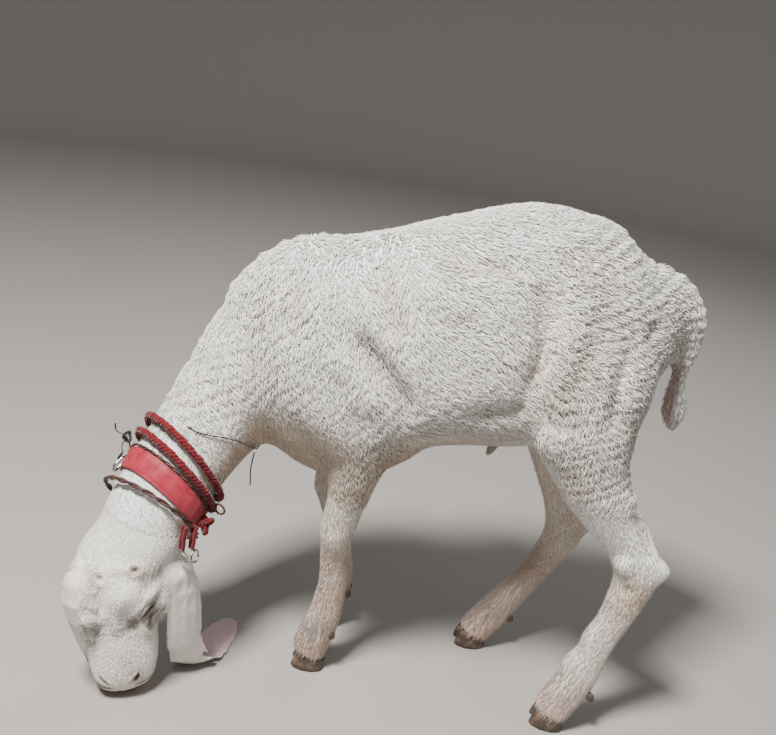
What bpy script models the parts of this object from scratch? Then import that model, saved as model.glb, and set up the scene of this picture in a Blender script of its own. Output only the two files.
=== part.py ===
"""A shorn young sheep, life size, standing with its muzzle on the ground and its face turned to its left.

The flesh is made whole: lofts for the trunk, neck, head, tail and legs are joined, remeshed and smoothed into
one body, which thin cuts then part into named nodes. Ears, eyes, claws, dewclaws, sheath and all that the sheep
wears round its neck are solids of their own, set against the body with a small gap.

Metres, +Z up. The sheep's nose is towards -X and its left side towards -Y. While it is built, y = 0 is the
middle plane of the trunk and z = 0 the ground; the last step centres the bounding box on the origin.
"""

import math

import bmesh
import bpy
import numpy as np
from mathutils import Matrix, Vector
from mathutils.bvhtree import BVHTree

# Driving dimensions
GAP = 0.0003  # between pieces that meet
STANDOFF = 0.0006  # of a loose piece from the flesh that it lies on
VOXEL = 0.004  # of the remesh that joins the flesh
FLESH_TRIANGLES = 3800
HEAD_KEEPS = 0.012  # how much less the head is thinned than the rest
HEAD_LENGTH = 0.226
EYE_RADIUS = 0.0125
EYE_STANDS_OUT = 0.0030
EAR_THICKNESS = 0.0042
CLAW_LENGTH = 0.050
CLAW_WIDTH = 0.0225
CORONET_FRONT = 0.029  # height of the top of a claw over its toe
CORONET_BACK = 0.017

WORLD_UP = np.array((0.0, 0.0, 1.0))


# ---------------------------------------------------------------- small tools


def unit(vector):
    vector = np.asarray(vector, float)
    return vector / np.linalg.norm(vector)


def smooth_through(keys, values, at):
    """Values at the places in at, on a smooth curve through the values at the keys."""
    keys = np.asarray(keys, float)
    values = np.asarray(values, float)
    slopes = np.gradient(values, keys, axis=0)
    at = np.clip(at, keys[0], keys[-1])
    i = np.clip(np.searchsorted(keys, at, side="right") - 1, 0, len(keys) - 2)
    span = keys[i + 1] - keys[i]
    t = (at - keys[i]) / span
    if values.ndim > 1:
        span = span[:, None]
        t = t[:, None]
    start = (1 + 2 * t) * (1 - t) ** 2 * values[i] + t * (1 - t) ** 2 * span * slopes[i]
    end = t * t * (3 - 2 * t) * values[i + 1] + t * t * (t - 1) * span * slopes[i + 1]
    return start + end


def along_path(points, count):
    """Evenly spread points on a smooth curve through the given ones."""
    points = np.asarray(points, float)
    steps = np.linalg.norm(np.diff(points, axis=0), axis=1)
    keys = np.concatenate([[0.0], np.cumsum(steps)])
    return smooth_through(keys, points, np.linspace(0, keys[-1], count))


def material(name, colour, roughness, metallic=0.0):
    made = bpy.data.materials.get(name)
    if made is None:
        made = bpy.data.materials.new(name)
        made.use_nodes = True
        made.diffuse_color = (*colour, 1.0)
        shader = made.node_tree.nodes["Principled BSDF"]
        shader.inputs["Base Color"].default_value = (*colour, 1.0)
        shader.inputs["Roughness"].default_value = roughness
        shader.inputs["Metallic"].default_value = metallic
    return made


def wool():
    return material("wool", (0.87, 0.85, 0.80), 0.9)


def short_hair():
    return material("short_hair", (0.80, 0.74, 0.68), 0.8)


def horn():
    return material("horn", (0.05, 0.04, 0.035), 0.5)


def eye_gloss():
    return material("eye", (0.03, 0.02, 0.015), 0.1)


def red_rope():
    return material("red_rope", (0.42, 0.02, 0.03), 0.8)


def pink_leather():
    return material("pink_leather", (0.55, 0.14, 0.16), 0.7)


def brown_leather():
    return material("brown_leather", (0.06, 0.025, 0.02), 0.6)


def black_thread():
    return material("black_thread", (0.02, 0.018, 0.018), 0.8)


def steel():
    return material("steel", (0.62, 0.62, 0.62), 0.3, 1.0)


def add_object(name, points, faces, finish):
    mesh = bpy.data.meshes.new(name)
    mesh.from_pydata([tuple(p) for p in points], [], [tuple(f) for f in faces])
    mesh.update()
    mesh.materials.append(finish)
    made = bpy.data.objects.new(name, mesh)
    bpy.context.scene.collection.objects.link(made)
    return face_outward(made)


def face_outward(obj):
    work = bmesh.new()
    work.from_mesh(obj.data)
    bmesh.ops.recalc_face_normals(work, faces=work.faces)
    work.to_mesh(obj.data)
    work.free()
    return obj


def bake_modifiers(obj):
    bpy.context.view_layer.update()
    graph = bpy.context.evaluated_depsgraph_get()
    obj.data = bpy.data.meshes.new_from_object(obj.evaluated_get(graph), depsgraph=graph)
    obj.modifiers.clear()
    return obj


def cut_away(obj, cutter):
    """Takes the cutter's volume out of the object, and does away with the cutter."""
    cut = obj.modifiers.new("cut", "BOOLEAN")
    cut.operation = "DIFFERENCE"
    cut.solver = "EXACT"
    cut.object = cutter
    bake_modifiers(obj)
    bpy.data.objects.remove(cutter, do_unlink=True)
    return obj


def grown_copy(obj, distance):
    """A copy of the object, with its surface moved out by the distance."""
    copy = bpy.data.objects.new("grown", obj.data.copy())
    bpy.context.scene.collection.objects.link(copy)
    grow = copy.modifiers.new("grow", "DISPLACE")
    grow.strength = distance
    grow.mid_level = 0.0
    return bake_modifiers(copy)


def tree_of(objects):
    """For finding the nearest point of several objects' surfaces, or where a ray meets them."""
    points, faces = [], []
    for obj in objects:
        start = len(points)
        points.extend(v.co.copy() for v in obj.data.vertices)
        faces.extend([start + i for i in p.vertices] for p in obj.data.polygons)
    return BVHTree.FromPolygons(points, faces)


def box_across(centre, normal, across, sizes):
    """Points and faces of a box: sizes are its thickness along the normal, its length across, and its depth."""
    normal = unit(normal)
    across = unit(np.asarray(across) - np.dot(across, normal) * normal)
    third = np.cross(normal, across)
    corners = []
    for i in (-0.5, 0.5):
        for j in (-0.5, 0.5):
            for k in (-0.5, 0.5):
                offset = i * sizes[0] * normal + j * sizes[1] * across + k * sizes[2] * third
                corners.append(np.asarray(centre) + offset)
    faces = [(0, 1, 3, 2), (4, 6, 7, 5), (0, 4, 5, 1), (2, 3, 7, 6), (0, 2, 6, 4), (1, 5, 7, 3)]
    return corners, faces


# ---------------------------------------------------------------- lofts


def tube_faces(rings, sides, closed_loop=False):
    faces = []
    last = rings if closed_loop else rings - 1
    for i in range(last):
        here, there = i * sides, (i + 1) % rings * sides
        for j in range(sides):
            k = (j + 1) % sides
            faces.append((here + j, here + k, there + k, there + j))
    if not closed_loop:
        faces.append(tuple(range(sides - 1, -1, -1)))
        faces.append(tuple((rings - 1) * sides + j for j in range(sides)))
    return faces


def loft(stations, rings=40, sides=24):
    """Points and faces of a closed tube through the stations.

    A station is (centre, up, rise, drop, half_width, fullness). up is the way that the section's back faces.
    rise and drop are how far the section reaches up and down from the centre, half_width how far to each side.
    A fullness of 2 is an ellipse, and more is squarer.
    """
    centres = np.array([s[0] for s in stations], float)
    ups = np.array([unit(s[1]) for s in stations])
    sizes = np.array([s[2:6] for s in stations], float)
    steps = np.linalg.norm(np.diff(centres, axis=0), axis=1)
    keys = np.concatenate([[0.0], np.cumsum(steps)])
    at = np.linspace(0, keys[-1], rings)
    centre = smooth_through(keys, centres, at)
    up = smooth_through(keys, ups, at)
    rise, drop, half_width, fullness = smooth_through(keys, sizes, at).T
    along = np.gradient(centre, axis=0)
    along /= np.linalg.norm(along, axis=1)[:, None]
    up -= (up * along).sum(axis=1)[:, None] * along
    up /= np.linalg.norm(up, axis=1)[:, None]
    side = np.cross(along, up)
    turn = np.arange(sides) * math.tau / sides
    lift, spread = np.cos(turn), np.sin(turn)
    points = []
    for i in range(rings):
        reach = (np.abs(lift) ** fullness[i] + np.abs(spread) ** fullness[i]) ** (-1 / fullness[i])
        height = np.where(lift > 0, rise[i], drop[i]) * lift * reach
        width = half_width[i] * spread * reach
        points.extend(centre[i] + height[:, None] * up[i] + width[:, None] * side[i])
    return points, tube_faces(rings, sides)


def ellipsoid(centre, radii, axes=None, subdivisions=3):
    """Points and faces of an ellipsoid, with its radii along the rows of axes."""
    sphere = bmesh.new()
    bmesh.ops.create_icosphere(sphere, subdivisions=subdivisions, radius=1.0)
    local = np.array([v.co for v in sphere.verts]) * np.asarray(radii)
    faces = [tuple(v.index for v in f.verts) for f in sphere.faces]
    sphere.free()
    if axes is not None:
        local = local @ np.array(axes)
    return list(local + np.asarray(centre)), faces


# ---------------------------------------------------------------- trunk and neck

# Trunk, front to back: x, height of the back, height of the underside, half width, fullness
TRUNK = (
    (-0.215, 0.470, 0.370, 0.030, 2.0),
    (-0.195, 0.512, 0.335, 0.060, 2.0),
    (-0.160, 0.570, 0.306, 0.086, 2.1),
    (-0.110, 0.616, 0.294, 0.102, 2.2),
    (-0.050, 0.637, 0.305, 0.111, 2.2),
    (0.010, 0.648, 0.354, 0.120, 2.2),
    (0.080, 0.675, 0.375, 0.127, 2.2),
    (0.150, 0.701, 0.384, 0.122, 2.2),
    (0.215, 0.717, 0.404, 0.109, 2.1),
    (0.270, 0.709, 0.450, 0.097, 2.1),
    (0.315, 0.685, 0.500, 0.078, 2.0),
    (0.347, 0.656, 0.560, 0.045, 2.0),
)


def trunk_stations():
    stations = []
    for x, top, bottom, half_width, fullness in TRUNK:
        half = (top - bottom) / 2
        stations.append(((x, 0, bottom + half), WORLD_UP, half, half, half_width, fullness))
    return stations


# Neck, from inside the chest to the poll: centre, way that the nape faces, rise, drop, half width, fullness
NECK = (
    ((-0.100, 0.000, 0.470), (-0.50, 0.00, 0.87), 0.105, 0.140, 0.080, 2.0),
    ((-0.160, -0.006, 0.440), (-0.66, 0.00, 0.75), 0.102, 0.118, 0.080, 2.0),
    ((-0.204, -0.026, 0.394), (-0.80, -0.10, 0.60), 0.074, 0.082, 0.067, 2.0),
    ((-0.238, -0.060, 0.335), (-0.90, -0.20, 0.40), 0.064, 0.064, 0.060, 2.0),
    ((-0.268, -0.096, 0.272), (-0.85, 0.10, 0.30), 0.062, 0.060, 0.057, 2.0),
    ((-0.288, -0.122, 0.225), (-0.60, 0.55, 0.35), 0.056, 0.058, 0.055, 2.0),
    ((-0.300, -0.138, 0.190), (-0.40, 0.75, 0.25), 0.046, 0.050, 0.048, 2.0),
)


# ---------------------------------------------------------------- head

POLL = np.array((-0.312, -0.142, 0.224))
MUZZLE = np.array((-0.284, -0.157, -0.002))
FACE_TO = (0.46, -0.88, 0.09)  # the way that the forehead faces

# Head, from the poll down to the lips: share of its length, reach to the face and to the throat, half width,
# fullness
HEAD = (
    (-0.09, 0.016, 0.034, 0.024, 2.0),
    (0.00, 0.036, 0.048, 0.042, 2.0),
    (0.12, 0.046, 0.058, 0.053, 2.2),
    (0.27, 0.050, 0.058, 0.060, 2.3),
    (0.42, 0.047, 0.056, 0.055, 2.2),
    (0.58, 0.043, 0.048, 0.050, 2.2),
    (0.74, 0.038, 0.038, 0.046, 2.3),
    (0.87, 0.031, 0.032, 0.042, 2.4),
    (0.96, 0.020, 0.024, 0.032, 2.3),
    (1.00, 0.006, 0.012, 0.014, 2.0),
)

# Bumps on the head: share of its length, metres towards the face and to the left, then radii along, towards
# the face and sideways. Each is made on both sides.
HEAD_BUMPS = (
    (0.360, 0.014, 0.042, 0.032, 0.026, 0.019),  # orbit
    (0.280, 0.016, 0.044, 0.026, 0.022, 0.020),  # brow
    (0.480, -0.020, 0.038, 0.050, 0.030, 0.020),  # cheek
    (0.900, 0.008, 0.016, 0.018, 0.018, 0.018),  # side of the nose
    (0.930, -0.014, 0.012, 0.014, 0.016, 0.018),  # lips
)


class HeadFrame:
    """Places in the head: share of the way from the poll to the lips, metres towards the face and to the left."""

    def __init__(self):
        self.down = unit(MUZZLE - POLL)
        self.face = unit(np.array(FACE_TO) - np.dot(FACE_TO, self.down) * self.down)
        self.left = np.cross(self.face, self.down)

    def at(self, share, towards_face=0.0, to_left=0.0):
        along = POLL + share * HEAD_LENGTH * self.down
        return along + towards_face * self.face + to_left * self.left

    def way(self, along, towards_face, to_left):
        return unit(along * self.down + towards_face * self.face + to_left * self.left)


HEAD_FRAME = HeadFrame()


def head_stations():
    return [(HEAD_FRAME.at(share), HEAD_FRAME.face, *sizes) for share, *sizes in HEAD]


def head_bumps():
    axes = (HEAD_FRAME.down, HEAD_FRAME.face, HEAD_FRAME.left)
    for share, towards_face, to_left, *radii in HEAD_BUMPS:
        for side in (-1, 1):
            yield ellipsoid(HEAD_FRAME.at(share, towards_face, side * to_left), radii, axes)


# ---------------------------------------------------------------- legs and tail

# Legs, from inside the trunk to the claws: centre, reach forward, reach back, half width
FORE_LEFT = (
    ((-0.095, -0.062, 0.555), 0.050, 0.050, 0.030),
    ((-0.085, -0.078, 0.490), 0.068, 0.066, 0.036),
    ((-0.045, -0.080, 0.420), 0.062, 0.056, 0.038),
    ((-0.018, -0.074, 0.368), 0.044, 0.040, 0.033),
    ((-0.022, -0.068, 0.325), 0.035, 0.033, 0.029),
    ((-0.028, -0.063, 0.280), 0.028, 0.028, 0.026),
    ((-0.033, -0.060, 0.240), 0.028, 0.025, 0.026),
    ((-0.033, -0.057, 0.195), 0.021, 0.022, 0.020),
    ((-0.031, -0.054, 0.140), 0.021, 0.022, 0.019),
    ((-0.037, -0.050, 0.082), 0.025, 0.026, 0.023),
    ((-0.045, -0.048, 0.052), 0.026, 0.027, 0.025),
    ((-0.052, -0.048, 0.020), 0.027, 0.027, 0.026),
    ((-0.055, -0.048, -0.010), 0.027, 0.027, 0.026),
)
FORE_RIGHT = (
    ((-0.095, 0.062, 0.555), 0.050, 0.050, 0.030),
    ((-0.088, 0.078, 0.490), 0.068, 0.066, 0.036),
    ((-0.062, 0.080, 0.420), 0.060, 0.054, 0.038),
    ((-0.052, 0.076, 0.368), 0.044, 0.040, 0.033),
    ((-0.058, 0.070, 0.325), 0.035, 0.033, 0.029),
    ((-0.058, 0.066, 0.280), 0.028, 0.028, 0.026),
    ((-0.054, 0.062, 0.240), 0.028, 0.025, 0.026),
    ((-0.044, 0.060, 0.195), 0.021, 0.022, 0.020),
    ((-0.034, 0.058, 0.140), 0.021, 0.022, 0.019),
    ((-0.028, 0.056, 0.082), 0.025, 0.026, 0.023),
    ((-0.032, 0.055, 0.052), 0.026, 0.027, 0.025),
    ((-0.038, 0.055, 0.020), 0.027, 0.027, 0.026),
    ((-0.041, 0.055, -0.010), 0.027, 0.027, 0.026),
)
HIND_LEFT = (
    ((0.245, -0.040, 0.600), 0.080, 0.078, 0.045),
    ((0.255, -0.064, 0.520), 0.080, 0.080, 0.052),
    ((0.262, -0.078, 0.450), 0.070, 0.064, 0.046),
    ((0.283, -0.084, 0.388), 0.050, 0.048, 0.037),
    ((0.318, -0.082, 0.338), 0.040, 0.038, 0.030),
    ((0.352, -0.078, 0.296), 0.032, 0.036, 0.026),
    ((0.371, -0.078, 0.255), 0.030, 0.036, 0.027),
    ((0.367, -0.080, 0.210), 0.026, 0.027, 0.024),
    ((0.346, -0.085, 0.140), 0.022, 0.023, 0.020),
    ((0.327, -0.090, 0.080), 0.026, 0.028, 0.024),
    ((0.316, -0.092, 0.052), 0.026, 0.028, 0.025),
    ((0.302, -0.093, 0.020), 0.027, 0.028, 0.026),
    ((0.295, -0.093, -0.010), 0.027, 0.028, 0.026),
)
HIND_RIGHT = (
    ((0.245, 0.040, 0.600), 0.080, 0.078, 0.045),
    ((0.245, 0.064, 0.520), 0.078, 0.080, 0.052),
    ((0.242, 0.076, 0.450), 0.062, 0.064, 0.046),
    ((0.250, 0.080, 0.385), 0.046, 0.048, 0.037),
    ((0.270, 0.080, 0.320), 0.036, 0.040, 0.030),
    ((0.292, 0.080, 0.265), 0.032, 0.036, 0.026),
    ((0.302, 0.079, 0.222), 0.030, 0.036, 0.027),
    ((0.290, 0.076, 0.178), 0.026, 0.026, 0.024),
    ((0.260, 0.071, 0.120), 0.022, 0.023, 0.020),
    ((0.230, 0.066, 0.075), 0.026, 0.027, 0.024),
    ((0.214, 0.064, 0.048), 0.026, 0.027, 0.025),
    ((0.196, 0.062, 0.018), 0.027, 0.027, 0.026),
    ((0.186, 0.062, -0.010), 0.027, 0.027, 0.026),
)


def leg_stations(leg):
    """A leg's sections face forward, towards -X."""
    return [(centre, (-1, 0, 0), fore, back, half, 2.0) for centre, fore, back, half in leg]


TAIL = (
    ((0.318, 0.000, 0.632), (0.5, 0, 0.85), 0.028, 0.030, 0.036, 2.0),
    ((0.352, 0.000, 0.617), (0.7, 0, 0.70), 0.027, 0.025, 0.035, 2.0),
    ((0.376, 0.000, 0.590), (1.0, 0, 0.20), 0.021, 0.018, 0.029, 2.0),
    ((0.383, 0.000, 0.550), (1.0, 0, 0.00), 0.016, 0.014, 0.021, 2.0),
    ((0.380, 0.000, 0.510), (1.0, 0, 0.00), 0.0105, 0.0105, 0.011, 2.0),
    ((0.384, 0.000, 0.482), (1.0, 0, 0.00), 0.016, 0.015, 0.014, 2.0),
    ((0.388, 0.000, 0.457), (1.0, 0, 0.00), 0.018, 0.016, 0.015, 2.0),
    ((0.390, 0.000, 0.434), (1.0, 0, 0.00), 0.008, 0.008, 0.008, 2.0),
)


# ---------------------------------------------------------------- shaping by hand

# Swellings and hollows on both sides of the body: place on the left side, radius, height (under 0 is a hollow)
RELIEF = (
    ((0.170, -0.115, 0.605), 0.048, -0.008),  # hollow of the flank
    ((0.205, -0.085, 0.675), 0.028, 0.004),  # point of the hip
    ((-0.015, -0.118, 0.500), 0.045, -0.007),  # behind the shoulder
    ((-0.100, -0.098, 0.550), 0.050, 0.007),  # shoulder blade
    ((-0.145, -0.085, 0.440), 0.040, 0.006),  # point of the shoulder
    ((0.000, -0.105, 0.415), 0.030, 0.006),  # elbow
    ((0.225, -0.112, 0.430), 0.035, 0.007),  # stifle
    ((0.285, -0.110, 0.530), 0.055, 0.006),  # thigh
)

# The same on the head, in the head's own places: share of its length, metres to the face and to the left
HEAD_RELIEF = (
    ((0.150, 0.048, 0.026), 0.013, 0.003),  # horn bud
    ((0.470, 0.030, 0.036), 0.014, -0.003),  # corner of the eye
    ((0.560, 0.010, 0.046), 0.026, -0.004),  # cheek above the lips
    ((0.940, 0.016, 0.016), 0.007, -0.005),  # nostril
    ((0.930, -0.004, 0.034), 0.008, -0.0025),  # corner of the mouth
    ((0.560, -0.052, 0.000), 0.030, -0.004),  # between the jaws
)


def relief_places():
    for (x, y, z), radius, height in RELIEF:
        for side in (-1, 1):
            yield np.array((x, side * -y, z)), radius, height
    for (share, towards_face, to_left), radius, height in HEAD_RELIEF:
        for side in (-1, 1):
            yield HEAD_FRAME.at(share, towards_face, side * to_left), radius, height


def shape_relief(mesh):
    count = len(mesh.vertices)
    points = np.empty(count * 3)
    mesh.vertices.foreach_get("co", points)
    points = points.reshape(-1, 3)
    normals = np.empty(count * 3)
    mesh.vertices.foreach_get("normal", normals)
    normals = normals.reshape(-1, 3)
    lift = np.zeros(count)
    for place, radius, height in relief_places():
        far = ((points - place) ** 2).sum(axis=1)
        lift += height * np.exp(-far / (2 * (0.6 * radius) ** 2))
    points += lift[:, None] * normals
    mesh.vertices.foreach_set("co", points.ravel())
    mesh.update()


# ---------------------------------------------------------------- the flesh, whole


def flesh_forms():
    yield loft(trunk_stations(), 60, 40)
    yield loft(NECK, 48, 32)
    yield loft(head_stations(), 60, 36)
    yield from head_bumps()
    for leg in (FORE_LEFT, FORE_RIGHT, HIND_LEFT, HIND_RIGHT):
        yield loft(leg_stations(leg), 80, 24)
    yield loft(TAIL, 40, 20)


def make_flesh():
    """The whole body as one closed mesh."""
    points, faces = [], []
    for form_points, form_faces in flesh_forms():
        start = len(points)
        points.extend(form_points)
        faces.extend(tuple(start + i for i in face) for face in form_faces)
    flesh = add_object("flesh", points, faces, wool())
    remesh = flesh.modifiers.new("join", "REMESH")
    remesh.mode = "VOXEL"
    remesh.voxel_size = VOXEL
    relax = flesh.modifiers.new("relax", "SMOOTH")
    relax.factor = 0.5
    relax.iterations = 10
    bake_modifiers(flesh)
    shape_relief(flesh.data)
    return thin_out(flesh)


def thin_out(flesh):
    """Lowers the flesh's count of triangles, in the head less than elsewhere."""
    group = flesh.vertex_groups.new(name="thin")
    for vertex in flesh.data.vertices:
        x, _, z = vertex.co
        in_head = x < -0.20 and z < 0.25
        group.add([vertex.index], 0.5 if in_head else 1.0, "REPLACE")
    thin = flesh.modifiers.new("thin", "DECIMATE")
    thin.ratio = FLESH_TRIANGLES / (2 * len(flesh.data.polygons))
    thin.vertex_group = "thin"
    thin.vertex_group_factor = HEAD_KEEPS
    bake_modifiers(flesh)
    flesh.vertex_groups.clear()
    return flesh


# ---------------------------------------------------------------- the flesh, in its named pieces

# Thin cuts: centre, normal, the way that the length runs, length, depth
CUTS = (
    ((-0.178, 0.000, 0.450), (1, 0, 0), (0, 0, 1), 0.40, 0.34),  # neck from trunk
    ((-0.280, -0.105, 0.243), (0.20, 0.20, 0.96), (1, 0, 0), 0.25, 0.25),  # head from neck
    ((-0.026, -0.066, 0.293), (0, 0, 1), (1, 0, 0), 0.10, 0.075),  # below the left elbow
    ((-0.060, 0.067, 0.290), (0, 0, 1), (1, 0, 0), 0.10, 0.075),
    ((-0.033, -0.058, 0.208), (0, 0, 1), (1, 0, 0), 0.08, 0.07),  # below the left knee
    ((-0.047, 0.060, 0.208), (0.1, 0, 1), (1, 0, 0), 0.08, 0.07),
    ((0.292, -0.082, 0.368), (0, 0, 1), (1, 0, 0), 0.13, 0.10),  # below the left stifle
    ((0.255, 0.080, 0.368), (0, 0, 1), (1, 0, 0), 0.13, 0.10),
    ((0.365, -0.080, 0.212), (0.25, 0, 1), (1, 0, 0), 0.09, 0.08),  # below the left hock
    ((0.288, 0.076, 0.178), (0.45, 0, 1), (1, 0, 0), 0.09, 0.08),
    ((0.362, 0.000, 0.590), (1, 0, 0), (0, 0, 1), 0.16, 0.10),  # tail from rump
)

# Names of the pieces, and a place near the middle of each
FLESH_PIECES = (
    ("trunk", (0.080, 0.000, 0.510), wool),
    ("neck", (-0.235, -0.055, 0.370), wool),
    ("head", (-0.300, -0.155, 0.125), short_hair),
    ("foreleg_upper_left", (-0.028, -0.063, 0.260), short_hair),
    ("foreleg_upper_right", (-0.057, 0.065, 0.260), short_hair),
    ("foreleg_lower_left", (-0.045, -0.052, 0.110), short_hair),
    ("foreleg_lower_right", (-0.036, 0.057, 0.110), short_hair),
    ("hindleg_upper_left", (0.340, -0.080, 0.290), short_hair),
    ("hindleg_upper_right", (0.278, 0.080, 0.270), short_hair),
    ("hindleg_lower_left", (0.335, -0.087, 0.110), short_hair),
    ("hindleg_lower_right", (0.245, 0.069, 0.100), short_hair),
    ("tail", (0.383, 0.000, 0.540), wool),
)


def floor_box():
    """All that is under the floor."""
    return box_across((0.0, 0.0, -0.05), (0, 0, 1), (1, 0, 0), (0.1, 1.2, 0.8))


def cut_flesh(flesh):
    """Parts the flesh with its thin cuts, and takes off what is below the claws' tops and the floor."""
    for centre, normal, across, length, depth in CUTS:
        slab = box_across(centre, normal, across, (GAP, length, depth))
        cut_away(flesh, add_object("cut", *slab, wool()))
    for foot in FEET:
        cut_away(flesh, add_object("cut", *foot_room(foot), wool()))
    cut_away(flesh, add_object("cut", *floor_box(), wool()))
    return flesh


def loose_pieces(obj):
    """The object's separate bodies, each as its points and faces."""
    work = bmesh.new()
    work.from_mesh(obj.data)
    left = set(work.verts)
    while left:
        start = min(left, key=lambda v: v.index)
        body, edge = {start}, [start]
        while edge:
            for link in edge.pop().link_edges:
                for vertex in link.verts:
                    if vertex not in body:
                        body.add(vertex)
                        edge.append(vertex)
        left -= body
        order = {v: i for i, v in enumerate(sorted(body, key=lambda v: v.index))}
        faces = [[order[v] for v in f.verts] for f in work.faces if f.verts[0] in body]
        yield [tuple(v.co) for v in order], faces
    work.free()


def name_flesh(flesh):
    """Makes an object of each of the flesh's pieces and returns them by name."""
    pieces = {}
    bodies = list(loose_pieces(flesh))
    middles = []
    for points, _ in bodies:
        points = np.array(points)
        middles.append((points.min(axis=0) + points.max(axis=0)) / 2)
    for name, place, finish in FLESH_PIECES:
        far = [np.linalg.norm(middle - place) for middle in middles]
        points, faces = bodies[int(np.argmin(far))]
        pieces[name] = add_object(name, points, faces, finish())
    bpy.data.objects.remove(flesh, do_unlink=True)
    return pieces


# ---------------------------------------------------------------- feet

# Each foot: name, middle of its sole, way of its toes in degrees from -X towards +Y
FEET = (
    ("fore_left", (-0.050, -0.048), 0.0),
    ("fore_right", (-0.040, 0.055), 0.0),
    ("hind_left", (0.300, -0.093), 8.0),
    ("hind_right", (0.193, 0.062), -4.0),
)
CORONET_SLOPE = (CORONET_FRONT - CORONET_BACK) / 0.040
CORONET_MIDDLE = (CORONET_FRONT + CORONET_BACK) / 2


def foot_axes(foot):
    """The middle of the sole, the way of the toes, and the way to the foot's left side."""
    _, (x, y), turn_deg = foot
    turn = math.radians(turn_deg)
    ahead = np.array((-math.cos(turn), math.sin(turn), 0.0))
    return np.array((x, y, 0.0)), ahead, np.cross(WORLD_UP, ahead)


def foot_room(foot):
    """A box whose top is the slanted plane where the flesh of a foot ends."""
    middle, ahead, _ = foot_axes(foot)
    normal = unit(WORLD_UP - CORONET_SLOPE * ahead)
    top = middle + (CORONET_MIDDLE + GAP) * WORLD_UP
    return box_across(top - 0.03 * normal, normal, ahead, (0.06, 0.12, 0.09))


def claw(foot, side):
    """One of a foot's two claws: side is 1 for the left one and -1 for the right."""
    middle, ahead, left = foot_axes(foot)
    count = 10
    turn = np.arange(count) * math.tau / count
    along = np.cos(turn)
    outward = np.sin(turn)
    # The inner side is flatter, and the outer side curves in to the toe
    reach = np.where(outward > 0, 0.56, 0.40) * CLAW_WIDTH * (1 - 0.16 * np.clip(along, 0, 1) ** 2)
    off = side * (0.0008 + 0.40 * CLAW_WIDTH + outward * reach)
    points = []
    for share, spread in ((0.0, 0.93), (0.12, 1.0), (0.55, 0.96), (1.0, 0.90)):
        ahead_by = CLAW_LENGTH * (0.5 * along * spread - 0.13 * share * (1 + along) / 2)
        top = CORONET_MIDDLE + CORONET_SLOPE * ahead_by
        height = share * top
        sideways = side * (0.0008 + 0.40 * CLAW_WIDTH) + (off - side * (0.0008 + 0.40 * CLAW_WIDTH)) * spread
        for i in range(count):
            points.append(middle + ahead_by[i] * ahead + sideways[i] * left + height[i] * WORLD_UP)
    return points, tube_faces(4, count)


def add_claws():
    for foot in FEET:
        for side, word in ((1, "outer"), (-1, "inner")):
            leg_side = 1 if foot[0].endswith("left") else -1
            points, faces = claw(foot, side * leg_side)
            add_object(f"claw_{foot[0]}_{word}", points, faces, horn())


# Dewclaws: foot, middle of the pair
DEWCLAWS = (
    ("fore_left", (-0.022, -0.050, 0.066)),
    ("fore_right", (-0.009, 0.056, 0.066)),
    ("hind_left", (0.349, -0.091, 0.062)),
    ("hind_right", (0.247, 0.066, 0.060)),
)


DEWCLAW_LEGS = {
    "fore_left": "foreleg_lower_left",
    "fore_right": "foreleg_lower_right",
    "hind_left": "hindleg_lower_left",
    "hind_right": "hindleg_lower_right",
}


def add_dewclaws(pieces):
    axes = (unit((0.55, 0.0, -0.83)), unit((0.83, 0.0, 0.55)), (0.0, 1.0, 0.0))
    for foot, middle in DEWCLAWS:
        for side, word in ((1, "outer"), (-1, "inner")):
            leg_side = -1 if foot.endswith("left") else 1
            place = np.array(middle) + (0.0, side * leg_side * 0.0115, 0.0)
            ball = ellipsoid(place, (0.0105, 0.0075, 0.0062), axes, 1)
            dewclaw = add_object(f"dewclaw_{foot}_{word}", *ball, horn())
            cut_away(dewclaw, grown_copy(pieces[DEWCLAW_LEGS[foot]], GAP))


# ---------------------------------------------------------------- eyes, ears, sheath


def add_eyes(pieces):
    """Puts each eye where it stands out of the orbit a little, and cuts a socket for it."""
    tree = tree_of([pieces["head"]])
    for side, word, turn in ((1, "left", 0.95), (-1, "right", 0.65)):
        start = HEAD_FRAME.at(0.385, 0.006, -0.006)
        way = HEAD_FRAME.way(0.02, turn, side)
        surface = np.array(tree.ray_cast(Vector(start), Vector(way))[0])
        middle = surface - (EYE_RADIUS - EYE_STANDS_OUT) * way
        socket = add_object("socket", *ellipsoid(middle, (EYE_RADIUS + GAP,) * 3), wool())
        cut_away(pieces["head"], socket)
        add_object(f"eye_{word}", *ellipsoid(middle, (EYE_RADIUS,) * 3, None, 2), eye_gloss())


# Ears, from inside the head to the tip: place, way that the outer face looks, half width, curl in degrees
EAR_LEFT = (
    ((-0.268, -0.140, 0.212), (0.30, -0.30, 0.90), 0.020, 150),
    ((-0.240, -0.137, 0.207), (0.50, -0.35, 0.79), 0.026, 130),
    ((-0.220, -0.136, 0.180), (0.72, -0.50, 0.48), 0.029, 100),
    ((-0.2165, -0.136, 0.134), (0.60, -0.78, 0.15), 0.0275, 75),
    ((-0.215, -0.131, 0.088), (0.54, -0.84, 0.02), 0.0265, 66),
    ((-0.213, -0.120, 0.042), (0.48, -0.87, -0.08), 0.0260, 50),
    ((-0.207, -0.102, 0.0125), (0.30, -0.62, -0.70), 0.028, 30),
    ((-0.200, -0.070, 0.0032), (0.05, -0.08, -1.0), 0.029, 14),
    ((-0.192, -0.034, 0.0018), (0.00, 0.00, -1.0), 0.027, 6),
    ((-0.183, 0.000, 0.0014), (0.00, 0.00, -1.0), 0.020, 2),
    ((-0.177, 0.020, 0.0012), (0.00, 0.00, -1.0), 0.011, 0),
)
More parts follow.
